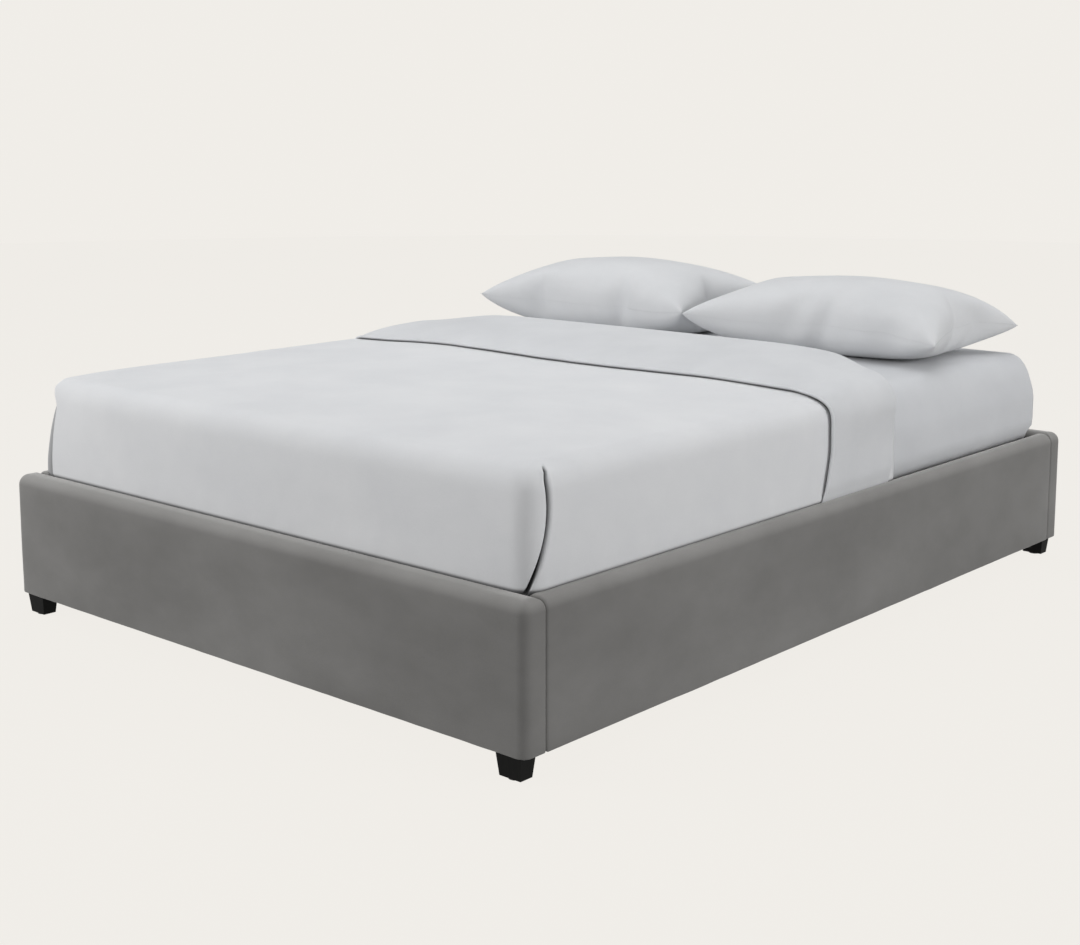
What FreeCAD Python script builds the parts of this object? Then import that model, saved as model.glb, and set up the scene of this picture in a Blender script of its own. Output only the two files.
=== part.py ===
"""Low upholstered platform bed, queen size, made up with a mattress, duvet and two pillows.

Frame: millimetres, +Z up, the head towards +Y. The origin is on the floor under the bed's centre.
The four panels stand round a slatted deck: each is a board with foam and a fabric cover.
"""

import FreeCAD, Part
import os
import re
import Sketcher

SIZES = {
    # whole bed: the frame is built round the mattress
    "mattress_width": 1525,
    "mattress_length": 2030,
    "side_play": 7.5,
    "end_play": 15,
    "leg_height": 50,
    "panel_height": 290,
    # upholstered panels, in layers from the outer face
    "cover_thick": 1.5,
    "foam_face": 14,
    "end_board": 30,
    "end_backing": 13,
    "rail_board": 25,
    "rail_backing": 8,
    "foam_top": 16,
    "foam_side": 6,
    "round_outer": 25,
    "round_inner": 20,
    "end_corner": 3,
    "joint_gap": 0.5,
    # slatted deck
    "deck_recess": 36,
    "slat_thick": 18,
    "slat_width": 90,
    "slat_play": 2,
    "slat_first": 25,
    "ledger_width": 40,
    "ledger_height": 40,
    "beam_width": 45,
    "beam_height": 70,
    "ledger_play": 4,
    "hanger_plate": 3,
    "hanger_wing": 30,
    "tape_width": 25,
    "tape_thick": 1,
    "tape_offset": 420,
    # legs
    "leg_wide": 62,
    "leg_deep": 42,
    "leg_taper": 5,
    "leg_inset": 18,
    "pad_thick": 3,
    "pad_radius": 14,
    "post_side": 45,
    "post_spacing": 620,
    "glide_disc": 18,
    "glide_thick": 8,
    "glide_stem": 4,
    "glide_reach": 48,
    "glide_clear": 0.4,
    # brackets and fasteners
    "bracket_arm": 60,
    "bracket_plate": 4,
    "bracket_height": 120,
    "bracket_drop": 10,
    "bolt_out": 38,
    "bolt_edge": 25,
    "bolt_radius": 4,
    "bolt_head": 8,
    "head_thick": 5,
    "bolt_grip": 18,
    "bolt_clear": 0.1,
    "insert_radius": 6,
    "insert_length": 20,
    "screw_radius": 2,
    "screw_head": 4,
    "screw_length": 45,
    "leg_bolt_down": 25,
    "leg_bolt_up": 45,
    # mattress and bedding
    "mattress_height": 254,
    "mattress_corner": 45,
    "mattress_edge": 20,
    "comfort_height": 70,
    "ticking_thick": 3,
    "deck_clear": 0.5,
    "sheet_thick": 1.2,
    "sheet_low": 24,
    "duvet_thick": 20,
    "duvet_side": 24,
    "duvet_corner": 50,
    "duvet_edge": 24,
    "duvet_short": 768,
    "rail_clear": 1.5,
    "tuck_depth": 28,
    "tuck_thick": 4,
    "tuck_clear": 0.4,
    "fold_thick": 26,
    "fold_side": 8,
    "fold_depth": 337,
    # pillows
    "pillow_length": 742,
    "pillow_depth": 520,
    "pillow_height": 190,
    "pillow_corner": 90,
    "pillow_edge": 80,
    "pillow_gap": 10,
    "pillow_back": 60,
    "case_thick": 2,
}

SLAT_COUNT = 12
POSTS = {"foot": -1, "middle": 0, "head": 1}

doc = FreeCAD.newDocument("platform_bed")
sheet = doc.addObject("Spreadsheet::Sheet", "Size")
for row, (name, size) in enumerate(SIZES.items(), start=1):
    sheet.set(f"A{row}", name)
    sheet.set(f"B{row}", str(size))
    sheet.setAlias(f"B{row}", name)
doc.recompute()

nodes = {}

# Formulas that several pieces share.
RAIL_THICK = "(2 * cover_thick + foam_face + rail_board + rail_backing)"
END_THICK = "(2 * cover_thick + foam_face + end_board + end_backing)"
INSIDE_X = "(mattress_width / 2 + side_play)"
INSIDE_Y = "(mattress_length / 2 + end_play)"
HALF_WIDTH = f"({INSIDE_X} + {RAIL_THICK})"
HALF_LENGTH = f"({INSIDE_Y} + {END_THICK})"
PANEL_TOP = "(leg_height + panel_height)"
DECK = "(leg_height + panel_height - deck_recess)"
SLAT_LOW = f"({DECK} - slat_thick)"
RAIL_LENGTH = f"(2 * {INSIDE_Y} - 2 * joint_gap)"
RAIL_BOARD_FACE = "(cover_thick + foam_face + rail_board)"
END_BOARD_FACE = "(cover_thick + foam_face + end_board)"
RAIL_RETURN = "(panel_height - deck_recess - slat_thick + 1)"
SLEEP_LOW = f"({DECK} + deck_clear)"
SLEEP_TOP = f"({SLEEP_LOW} + mattress_height)"
SHEET_TOP = f"({SLEEP_TOP} + sheet_thick)"
DUVET_TOP = f"({SHEET_TOP} + duvet_thick)"
BEDDING_LOW = f"({PANEL_TOP} + rail_clear)"
DUVET_HALF = "(mattress_width / 2 + sheet_thick + duvet_side)"
DUVET_FOOT = "(mattress_length / 2 + sheet_thick + duvet_side)"
DUVET_END = f"({INSIDE_Y} - duvet_short)"
FOLD_START = f"({DUVET_END} - fold_depth)"


def full(text):
    """A formula in the sheet's names, with each name pointing at the sheet."""
    return re.sub(r"[a-z]+(?:_[a-z0-9]+)+", r"Size.\g<0>", str(text))


def number(text):
    """The present value of a formula."""
    return float(sheet.evalExpression(full(text)))


def bind(thing, path, text):
    """Ties one property to a formula."""
    thing.setExpression(path, full(text))


def place(thing, at, axis=(0, 0, 1), angle=0.0):
    """Puts a piece at a formula for each of x, y and z, turned by a fixed angle."""
    start = FreeCAD.Vector(*[number(text) for text in at])
    thing.Placement = FreeCAD.Placement(start, FreeCAD.Rotation(FreeCAD.Vector(*axis), angle))
    for letter, text in zip("xyz", at):
        bind(thing, f"Placement.Base.{letter}", text)


def keep(name, thing):
    """Names a finished sub-part."""
    thing.Label = name
    nodes[name] = thing
    return thing


# ---------------------------------------------------------------- sketches and features


def sketch_on(body, role, offset="0"):
    """A sketch on one of the body's own origin planes, moved along its normal."""
    plane = next(item for item in body.Origin.OriginFeatures if item.Role == role)
    sketch = body.newObject("Sketcher::SketchObject", f"{body.Name}_outline")
    sketch.AttachmentSupport = (plane, [""])
    sketch.MapMode = "FlatFace"
    bind(sketch, "AttachmentOffset.Base.z", offset)
    return sketch


def drive(sketch, kind, places, text):
    """A dimension of a sketch, tied to a formula."""
    index = sketch.addConstraint(Sketcher.Constraint(kind, *places, number(text)))
    name = f"size_{index}"
    sketch.renameConstraint(index, name)
    bind(sketch, f"Constraints.{name}", text)


def relate(sketch, *rules):
    """Geometric rules of a sketch."""
    for rule in rules:
        sketch.addConstraint(Sketcher.Constraint(*rule))


def line(sketch, start, end):
    """A straight line of a sketch between two points given as numbers."""
    first = FreeCAD.Vector(*start, 0)
    return sketch.addGeometry(Part.LineSegment(first, FreeCAD.Vector(*end, 0)), False)


def draw_rectangle(sketch, low, high):
    """A rectangle between two corners, each a formula for both coordinates."""
    (left, bottom), (right, top) = ([number(text) for text in corner] for corner in (low, high))
    corners = [(left, bottom), (right, bottom), (right, top), (left, top)]
    sides = [line(sketch, corners[i], corners[(i + 1) % 4]) for i in range(4)]
    for i in range(4):
        relate(sketch, ("Coincident", sides[i], 2, sides[(i + 1) % 4], 1))
        relate(sketch, ("Vertical" if i % 2 else "Horizontal", sides[i]))
    for corner, side in ((low, sides[0]), (high, sides[2])):
        drive(sketch, "DistanceX", (-1, 1, side, 1), corner[0])
        drive(sketch, "DistanceY", (-1, 1, side, 1), corner[1])


def draw_crowned(sketch, inner, outer, low, high, inner_round, outer_round):
    """A panel section: square below, rounded at both upper edges. The outer face is at +X."""
    left, right, bottom, top = (number(text) for text in (inner, outer, low, high))
    small, large = number(inner_round), number(outer_round)
    base = line(sketch, (left, bottom), (right, bottom))
    front = line(sketch, (right, bottom), (right, top - large))
    centre = FreeCAD.Vector(right - large, top - large, 0)
    up = FreeCAD.Vector(0, 0, 1)
    shoulder = sketch.addGeometry(Part.ArcOfCircle(Part.Circle(centre, up, large), 0, 1.570796), False)
    crown = line(sketch, (right - large, top), (left + small, top))
    centre = FreeCAD.Vector(left + small, top - small, 0)
    back_round = Part.ArcOfCircle(Part.Circle(centre, up, small), 1.570796, 3.141593)
    back_shoulder = sketch.addGeometry(back_round, False)
    back = line(sketch, (left, top - small), (left, bottom))
    relate(
        sketch,
        ("Coincident", base, 2, front, 1),
        ("Tangent", front, 2, shoulder, 1),
        ("Tangent", shoulder, 2, crown, 1),
        ("Tangent", crown, 2, back_shoulder, 1),
        ("Tangent", back_shoulder, 2, back, 1),
        ("Coincident", back, 2, base, 1),
        ("Horizontal", base),
        ("Horizontal", crown),
        ("Vertical", front),
        ("Vertical", back),
    )
    drive(sketch, "Radius", (shoulder,), outer_round)
    drive(sketch, "Radius", (back_shoulder,), inner_round)
    drive(sketch, "DistanceX", (-1, 1, base, 2), outer)
    drive(sketch, "DistanceX", (-1, 1, base, 1), inner)
    drive(sketch, "DistanceY", (-1, 1, base, 2), low)
    drive(sketch, "DistanceY", (-1, 1, crown, 1), high)


def pad(body, sketch, length, both_ways=False):
    """Raises a sketch by a formula's length, or half of it each way."""
    feature = body.newObject("PartDesign::Pad", f"{body.Name}_pad")
    feature.Profile = sketch
    feature.Midplane = both_ways
    bind(feature, "Length", length)
    body.Tip = feature
    return feature


def cut(body, sketch, length):
    """Cuts a sketch by half a formula's length each way, and makes sure that it removed something."""
    doc.recompute()
    before = body.Shape.Volume
    feature = body.newObject("PartDesign::Pocket", f"{body.Name}_pocket")
    feature.Profile = sketch
    feature.Midplane = True
    bind(feature, "Length", length)
    body.Tip = feature
    doc.recompute()
    if body.Shape.Volume > before - 1:
        raise RuntimeError(f"{body.Label}: a cut removed nothing")
    return feature


def drill(body, role, offset, centres, radius, depth):
    """Round holes through a face on one of the body's planes, to the given depth."""
    sketch = sketch_on(body, role, offset)
    for across, along in centres:
        centre = FreeCAD.Vector(number(across), number(along), 0)
        hole = Part.Circle(centre, FreeCAD.Vector(0, 0, 1), number(radius))
        ring = sketch.addGeometry(hole, False)
        drive(sketch, "Radius", (ring,), radius)
        drive(sketch, "DistanceX", (-1, 1, ring, 3), across)
        drive(sketch, "DistanceY", (-1, 1, ring, 3), along)
    cut(body, sketch, f"2 * ({depth})")


def fillet(body, wanted, radius):
    """Rounds the edges of the body's tip that a test picks."""
    doc.recompute()
    tip = body.Tip
    edges = [f"Edge{i}" for i, edge in enumerate(tip.Shape.Edges, start=1) if wanted(edge)]
    feature = body.newObject("PartDesign::Fillet", f"{body.Name}_round")
    feature.Base = (tip, edges)
    bind(feature, "Radius", radius)
    body.Tip = feature
    return feature


def upright(edge):
    """True for an edge along Z."""
    return edge.BoundBox.XLength < 0.01 and edge.BoundBox.YLength < 0.01


def level_at(height):
    """A test for edges that lie in the level plane at a height."""

    def test(edge):
        return edge.BoundBox.ZLength < 0.01 and abs(edge.BoundBox.ZMin - height) < 0.01

    return test


def block(name, size, at, axis=(0, 0, 1), angle=0.0):
    """A square-edged piece: length, depth and height from its low corner at a place."""
    body = doc.addObject("PartDesign::Body", name)
    sketch = sketch_on(body, "XY_Plane")
    draw_rectangle(sketch, ("0", "0"), size[:2])
    pad(body, sketch, size[2])
    place(body, at, axis, angle)
    return keep(name, body)


def soft_block(name, half, low_y, high_y, low, high, corner, edge, rounded="both"):
    """A soft piece centred on X, with round upright corners and round level edges."""
    body = doc.addObject("PartDesign::Body", name)
    sketch = sketch_on(body, "XY_Plane")
    draw_rectangle(sketch, (f"-({half})", low_y), (half, high_y))
    height = f"({high}) - ({low})"
    pad(body, sketch, height)
    fillet(body, upright, corner)
    tests = {
        "both": lambda item: level_at(0)(item) or level_at(number(height))(item),
        "top": level_at(number(height)),
        "bottom": level_at(0),
    }
    fillet(body, tests[rounded], edge)
    place(body, ("0", "0", low))
    return body


def shell(name, outer, inner):
    """What is left of one piece when another is taken out of it."""
    piece = doc.addObject("Part::Cut", name)
    piece.Base = outer
    piece.Tool = inner
    return keep(name, piece)


def rod(name, radius, length, at, axis=(0, 0, 1), angle=0.0):
    """A round bar that starts at a place and runs along its own turned Z."""
    bar = doc.addObject("Part::Cylinder", name)
    bind(bar, "Radius", radius)
    bind(bar, "Height", length)
    place(bar, at, axis, angle)
    return bar


def group(name, pieces):
    """Separate solids that share one node."""
    bundle = doc.addObject("Part::Compound", name)
    bundle.Links = pieces
    return keep(name, bundle)


# ---------------------------------------------------------------- upholstered panels

# The most that each upper edge's rounding may take of a panel's thickness.
INNER_SHARE = 0.4
OUTER_SHARE = 0.5


def panel(name, at, angle, thick, board, length, ends, lower_return):
    """A board, its foam and its cover. The outer face is at local +X and the length along local Y.

    ends is the foam over each end of the board, or None where the ends are bare.
    lower_return is the height at which the cover's inner side stops, or None where it goes all the way.
    """
    board_face = f"(cover_thick + foam_face + {board})"
    closed = ends is not None
    core = f"({length} - 2 * cover_thick - 2 * ({ends}))" if closed else length
    inside = f"({length} - 2 * cover_thick)" if closed else length
    through = "0" if closed else "20"

    timber = doc.addObject("PartDesign::Body", f"{name}_board")
    sketch = sketch_on(timber, "XZ_Plane")
    board_low = (f"-{board_face}", "cover_thick")
    board_high = ("-(cover_thick + foam_face)", "panel_height - cover_thick - foam_top")
    draw_rectangle(sketch, board_low, board_high)
    pad(timber, sketch, core, both_ways=True)

    foam = doc.addObject("PartDesign::Body", f"{name}_foam")
    sketch = sketch_on(foam, "XZ_Plane")
    skin = (f"-({thick} - cover_thick)", "-cover_thick", "cover_thick", "panel_height - cover_thick")
    round_in = f"min(round_inner; {thick} * {INNER_SHARE})"
    round_out = f"min(round_outer; {thick} * {OUTER_SHARE})"
    rounds = (f"{round_in} - cover_thick", f"{round_out} - cover_thick")
    draw_crowned(sketch, *skin, *rounds)
    pad(foam, sketch, inside, both_ways=True)
    sketch = sketch_on(foam, "XZ_Plane")
    draw_rectangle(sketch, board_low, board_high)
    cut(foam, sketch, f"{core} + {through}")

    cover = doc.addObject("PartDesign::Body", f"{name}_cover")
    sketch = sketch_on(cover, "XZ_Plane")
    draw_crowned(sketch, f"-({thick})", "0", "0", "panel_height", round_in, round_out)
    pad(cover, sketch, length, both_ways=True)
    if closed:
        fillet(cover, upright, "end_corner")
    sketch = sketch_on(cover, "XZ_Plane")
    draw_crowned(sketch, *skin, *rounds)
    cut(cover, sketch, f"{inside} + {through}")

    if lower_return is not None:
        for body in (foam, cover):
            sketch = sketch_on(body, "XZ_Plane")
            corner = (f"-({thick}) - 5", "-5")
            draw_rectangle(sketch, corner, (f"-{board_face}", lower_return))
            cut(body, sketch, f"{length} + 20")

    for body, part_name in ((timber, "board"), (foam, "foam"), (cover, "cover")):
        place(body, at, (0, 0, 1), angle)
        keep(f"{name}_{part_name}", body)
    return timber, foam, cover


BRACKET_LOW = f"({SLAT_LOW} - ledger_height - bracket_drop - bracket_height - leg_height)"
BOLT_HEIGHTS = (f"{BRACKET_LOW} + bolt_edge", f"{BRACKET_LOW} + bracket_height - bolt_edge")
END_LENGTH = f"(2 * {HALF_WIDTH})"
RAIL_CORNER = f"({HALF_WIDTH} - {RAIL_BOARD_FACE} - bolt_out)"
LEG_X = f"({HALF_WIDTH} - leg_inset - leg_wide / 2)"


def end_panel(name, side, angle):
    """The foot or head panel, with holes for the corner bolts and the leg bolts."""
    at = ("0", f"{side} * {HALF_LENGTH}", "leg_height")
    pieces = panel(name, at, angle, END_THICK, "end_board", END_LENGTH, "foam_side", None)
    timber, foam, cover = pieces
    centres = [(f"{way} * {RAIL_CORNER}", rise) for way in (-1, 1) for rise in BOLT_HEIGHTS]
    drill(timber, "YZ_Plane", f"-{END_BOARD_FACE}", centres, "insert_radius", "insert_length")
    hole = "bolt_radius + bolt_clear"
    drill(foam, "YZ_Plane", f"-{END_THICK}", centres, hole, f"{END_THICK} - {END_BOARD_FACE}")
    drill(cover, "YZ_Plane", f"-{END_THICK}", centres, hole, "cover_thick + foam_face / 2")
    middle = "-(cover_thick + foam_face + end_board / 2)"
    feet = [(middle, f"{way} * {LEG_X}") for way in (-1, 1)]
    drill(timber, "XY_Plane", "0", feet, hole, "leg_bolt_up")
    drill(cover, "XY_Plane", "0", feet, hole, "cover_thick * 4")


def side_rail(name, side, angle):
    """A side rail, with holes for the corner bolts' inserts."""
    at = (f"{side} * {HALF_WIDTH}", "0", "leg_height")
    pieces = panel(name, at, angle, RAIL_THICK, "rail_board", RAIL_LENGTH, None, RAIL_RETURN)
    along = f"({INSIDE_Y} - bolt_out)"
    centres = [(f"{way} * {along}", rise) for way in (-1, 1) for rise in BOLT_HEIGHTS]
    drill(pieces[0], "YZ_Plane", f"-{RAIL_BOARD_FACE}", centres, "insert_radius", "insert_length")


end_panel("foot_panel", -1, -90)
end_panel("head_panel", 1, 90)
side_rail("left_rail", -1, 180)
side_rail("right_rail", 1, 0)


# ---------------------------------------------------------------- corner brackets, bolts, inserts

CORNERS = {
    "foot_left": (-1, -1, 0),
    "foot_right": (1, -1, 90),
    "head_right": (1, 1, 180),
    "head_left": (-1, 1, 270),
}
BRACKET_X = f"({HALF_WIDTH} - {RAIL_BOARD_FACE})"
BRACKET_Y = INSIDE_Y


def draw_angle(sketch):
    """An L section with its outer corner at the origin."""
    arm, plate = number("bracket_arm"), number("bracket_plate")
    points = [(0, 0), (arm, 0), (arm, plate), (plate, plate), (plate, arm), (0, arm)]
    sides = [line(sketch, points[i], points[(i + 1) % 6]) for i in range(6)]
    for i in range(6):
        relate(sketch, ("Coincident", sides[i], 2, sides[(i + 1) % 6], 1))
        relate(sketch, ("Vertical" if i % 2 else "Horizontal", sides[i]))
    relate(sketch, ("Coincident", sides[0], 1, -1, 1))
    drive(sketch, "DistanceX", (-1, 1, sides[0], 2), "bracket_arm")
    drive(sketch, "DistanceY", (-1, 1, sides[1], 2), "bracket_plate")
    drive(sketch, "DistanceX", (-1, 1, sides[2], 2), "bracket_plate")
    drive(sketch, "DistanceY", (-1, 1, sides[3], 2), "bracket_arm")


def corner_bracket(name, way_x, way_y, angle):
    """A steel angle that joins a rail to an end panel, drilled for two bolts in each plate."""
    body = doc.addObject("PartDesign::Body", f"bracket_{name}")
    sketch = sketch_on(body, "XY_Plane")
    draw_angle(sketch)
    pad(body, sketch, "bracket_height")
    rises = ("bolt_edge", "bracket_height - bolt_edge")
    hole = "bolt_radius + bolt_clear"
    for role in ("XZ_Plane", "YZ_Plane"):
        drill(body, role, "0", [("bolt_out", rise) for rise in rises], hole, "bracket_plate * 2")
    at = (f"{way_x} * {BRACKET_X}", f"{way_y} * {BRACKET_Y}", f"leg_height + {BRACKET_LOW}")
    place(body, at, angle=angle)
    keep(f"bracket_{name}", body)


def bolt(name, at, axis, angle, length):
    """A bolt whose shank starts at a place and whose head stands behind it."""
    shank = rod(f"{name}_shank", "bolt_radius", length, at, axis, angle)
    head = doc.addObject("Part::Cylinder", f"{name}_head")
    bind(head, "Radius", "bolt_head")
    bind(head, "Height", "head_thick")
    turn = FreeCAD.Rotation(FreeCAD.Vector(*axis), angle)
    back = turn.multVec(FreeCAD.Vector(0, 0, -1))
    place(head, [f"({text}) + head_thick * {round(part)}" for text, part in zip(at, back)], axis, angle)
    whole = doc.addObject("Part::Fuse", name)
    whole.Base = shank
    whole.Tool = head
    return whole


def insert(name, at, axis, angle):
    """A threaded insert: a tube whose mouth is at a place."""
    outside = rod(f"{name}_outside", "insert_radius", "insert_length", at, axis, angle)
    bore = rod(f"{name}_bore", "bolt_radius + bolt_clear", "insert_length", at, axis, angle)
    tube = doc.addObject("Part::Cut", name)
    tube.Base = outside
    tube.Tool = bore
    return tube


bolts = []
inserts = []
for corner, (way_x, way_y, angle) in CORNERS.items():
    corner_bracket(corner, way_x, way_y, angle)
    for level, rise in enumerate(BOLT_HEIGHTS):
        height = f"leg_height + {rise}"
        rail_y = f"{way_y} * ({BRACKET_Y} - bolt_out)"
        plate_x = f"{way_x} * ({BRACKET_X} - bracket_plate)"
        grip = "bracket_plate + bolt_grip"
        turn = ((0, 1, 0), 90 * way_x)
        tag = f"{corner}_{level}"
        bolts.append(bolt(f"rail_bolt_{tag}", (plate_x, rail_y, height), *turn, grip))
        inserts.append(insert(f"rail_insert_{tag}", (f"{way_x} * {BRACKET_X}", rail_y, height), *turn))
        end_x = f"{way_x} * {RAIL_CORNER}"
        plate_y = f"{way_y} * ({BRACKET_Y} - bracket_plate)"
        padding = f"({END_THICK} - {END_BOARD_FACE})"
        turn = ((1, 0, 0), -90 * way_y)
        bolts.append(bolt(f"end_bolt_{tag}", (end_x, plate_y, height), *turn, f"{grip} + {padding}"))
        mouth = (end_x, f"{way_y} * ({BRACKET_Y} + {padding})", height)
        inserts.append(insert(f"end_insert_{tag}", mouth, *turn))
group("corner_bolts", bolts)
group("threaded_inserts", inserts)


# ---------------------------------------------------------------- slatted deck

LEDGER_IN = f"({HALF_WIDTH} - {RAIL_BOARD_FACE} - ledger_width)"
LEDGER_LENGTH = f"(2 * {INSIDE_Y} - 2 * ledger_play)"
LEDGER_LOW = f"({SLAT_LOW} - ledger_height)"
SLAT_HALF = f"({INSIDE_X} - slat_play)"
SLAT_PITCH = f"(({RAIL_LENGTH} - 2 * slat_first - slat_width) / {SLAT_COUNT - 1})"

ledger_size = ("ledger_width", LEDGER_LENGTH, "ledger_height")
for name, start in (("left_ledger", f"-({LEDGER_IN} + ledger_width)"), ("right_ledger", LEDGER_IN)):
    block(name, ledger_size, (start, f"-{LEDGER_LENGTH} / 2", LEDGER_LOW))

for index in range(SLAT_COUNT):
    start = f"-{RAIL_LENGTH} / 2 + slat_first + {index} * {SLAT_PITCH}"
    slat_size = (f"2 * {SLAT_HALF}", "slat_width", "slat_thick")
    block(f"slat_{index + 1:02d}", slat_size, (f"-{SLAT_HALF}", start, SLAT_LOW))

BEAM_LENGTH = f"(2 * {INSIDE_Y} - 2 * hanger_plate - 2 * joint_gap)"
BEAM_LOW = f"({SLAT_LOW} - beam_height)"
post_places = {name: f"{way} * post_spacing" for name, way in POSTS.items()}
beam_start = ("-beam_width / 2", f"-{BEAM_LENGTH} / 2", BEAM_LOW)
beam = block("centre_beam", ("beam_width", BEAM_LENGTH, "beam_height"), beam_start)
beam_holes = [("beam_width / 2", f"{BEAM_LENGTH} / 2 + {along}") for along in post_places.values()]
drill(beam, "XY_Plane", "0", beam_holes, "bolt_radius + bolt_clear", "leg_bolt_up")

tapes = []
for way in (-1, 1):
    tape = doc.addObject("Part::Box", "tape")
    bind(tape, "Length", "tape_width")
    bind(tape, "Width", RAIL_LENGTH + " - 2 * slat_first")
    bind(tape, "Height", "tape_thick")
    tape_y = f"-({RAIL_LENGTH} - 2 * slat_first) / 2"
    place(tape, (f"{way} * tape_offset - tape_width / 2", tape_y, f"{SLAT_LOW} - tape_thick"))
    tapes.append(tape)
group("slat_tapes", tapes)


def beam_hanger(name, way_y, angle):
    """A steel stirrup on an end panel: a back plate with wings, two cheeks and a seat for the beam."""
    inner = "beam_width / 2 + joint_gap"
    outer = f"{inner} + hanger_plate"
    body = doc.addObject("PartDesign::Body", name)
    sketch = sketch_on(body, "XZ_Plane")
    draw_rectangle(sketch, (f"-({outer} + hanger_wing)", "0"), (f"{outer} + hanger_wing", "beam_height"))
    pad(body, sketch, "2 * hanger_plate", both_ways=True)
    sketch = sketch_on(body, "XY_Plane")
    draw_rectangle(sketch, (f"-({outer})", "0"), (outer, "hanger_wing"))
    pad(body, sketch, "beam_height")
    sketch = sketch_on(body, "XY_Plane", "hanger_plate")
    draw_rectangle(sketch, (f"-({inner})", "hanger_plate"), (inner, "hanger_wing + 5"))
    pocket = cut(body, sketch, "2 * beam_height")
    pocket.Midplane = False
    pocket.Reversed = True
    bind(pocket, "Length", "beam_height")
    sketch = sketch_on(body, "XY_Plane")
    past = f"({outer} + hanger_wing + 5)"
    draw_rectangle(sketch, (f"-{past}", "-hanger_plate - 5"), (past, "0"))
    cut(body, sketch, "4 * beam_height")
    wing = f"({outer} + hanger_wing / 2)"
    centres = [(f"{way} * {wing}", "beam_height / 2") for way in (-1, 1)]
    drill(body, "XZ_Plane", "0", centres, "screw_radius + bolt_clear", "hanger_plate * 3")
    place(body, ("0", f"{way_y} * {BRACKET_Y}", f"{BEAM_LOW} - hanger_plate"), angle=angle)
    keep(name, body)
    return wing


def screw(name, at, axis, angle):
    """A wood screw whose head's underside is at a place."""
    shank = rod(f"{name}_shank", "screw_radius", "screw_length", at, axis, angle)
    turn = FreeCAD.Rotation(FreeCAD.Vector(*axis), angle)
    back = turn.multVec(FreeCAD.Vector(0, 0, -1))
    spot = [f"({text}) + screw_radius * {round(part)}" for text, part in zip(at, back)]
    head = rod(f"{name}_head", "screw_head", "screw_radius", spot, axis, angle)
    whole = doc.addObject("Part::Fuse", name)
    whole.Base = shank
    whole.Tool = head
    return whole


screws = []
for name, way_y, angle in (("hanger_foot", -1, 0), ("hanger_head", 1, 180)):
    wing = beam_hanger(name, way_y, angle)
    face = f"{way_y} * ({BRACKET_Y} - hanger_plate)"
    for way in (-1, 1):
        at = (f"{way} * {wing}", face, f"{BEAM_LOW} - hanger_plate + beam_height / 2")
        screws.append(screw(f"{name}_screw", at, (1, 0, 0), -90 * way_y))
for way_x in (-1, 1):
    for step in (-3, -1, 1, 3):
        along = f"{step} * {LEDGER_LENGTH} / 7"
        at = (f"{way_x} * {LEDGER_IN}", along, f"{LEDGER_LOW} + ledger_height / 2")
        screws.append(screw("ledger_screw", at, (0, 1, 0), 90 * way_x))
group("frame_screws", screws)


# ---------------------------------------------------------------- legs


def tapered_leg(name, way_x, way_y):
    """A block leg that narrows towards the floor, drilled for its bolt."""
    body = doc.addObject("PartDesign::Body", name)
    sections = []
    for level, shrink in (("0", "leg_taper"), ("leg_height - pad_thick", "0")):
        sketch = sketch_on(body, "XY_Plane", level)
        half = (f"leg_wide / 2 - {shrink}", f"leg_deep / 2 - {shrink}")
        draw_rectangle(sketch, tuple(f"-({text})" for text in half), half)
        sections.append(sketch)
    loft = body.newObject("PartDesign::AdditiveLoft", f"{name}_loft")
    loft.Profile = sections[0]
    loft.Sections = sections[1:]
    body.Tip = loft
    top = "leg_height - pad_thick"
    drill(body, "XY_Plane", top, [("0", "0")], "bolt_radius + bolt_clear", "leg_bolt_down")
    place(body, (f"{way_x} * {LEG_X}", f"{way_y} * {LEG_Y}", "pad_thick"))
    keep(name, body)


LEG_Y = f"({HALF_LENGTH} - cover_thick - foam_face - end_board / 2)"
pads = []
leg_bolts = []
for corner, (way_x, way_y, angle) in CORNERS.items():
    tapered_leg(f"leg_{corner}", way_x, way_y)
    spot = (f"{way_x} * {LEG_X}", f"{way_y} * {LEG_Y}")
    pads.append(rod("felt_pad", "pad_radius", "pad_thick", (*spot, "0")))
    start = (*spot, "leg_height - leg_bolt_down")
    leg_bolts.append(rod("leg_bolt", "bolt_radius", "leg_bolt_down + leg_bolt_up", start))

for post, along in post_places.items():
    body = block(
        f"post_{post}",
        ("post_side", "post_side", f"{BEAM_LOW} - glide_thick"),
        ("-post_side / 2", f"{along} - post_side / 2", "glide_thick"),
    )
    middle = [("post_side / 2", "post_side / 2")]
    top = f"{BEAM_LOW} - glide_thick"
    drill(body, "XY_Plane", top, middle, "bolt_radius + bolt_clear", "leg_bolt_down")
    drill(body, "XY_Plane", "0", middle, "glide_stem + glide_clear", "glide_reach + glide_clear")
    start = ("0", along, f"{BEAM_LOW} - leg_bolt_down")
    leg_bolts.append(rod("post_bolt", "bolt_radius", "leg_bolt_down + leg_bolt_up", start))

    disc = rod(f"glide_{post}_disc", "glide_disc", "glide_thick - glide_clear", ("0", along, "0"))
    reach = "glide_thick + glide_reach - glide_clear"
    stem = rod(f"glide_{post}_stem", "glide_stem", reach, ("0", along, "0"))
    glide = doc.addObject("Part::Fuse", f"glide_{post}")
    glide.Base = disc
    glide.Tool = stem
    keep(f"glide_{post}", glide)
group("felt_pads", pads)
group("leg_bolts", leg_bolts)


# ---------------------------------------------------------------- mattress and bedding

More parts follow.
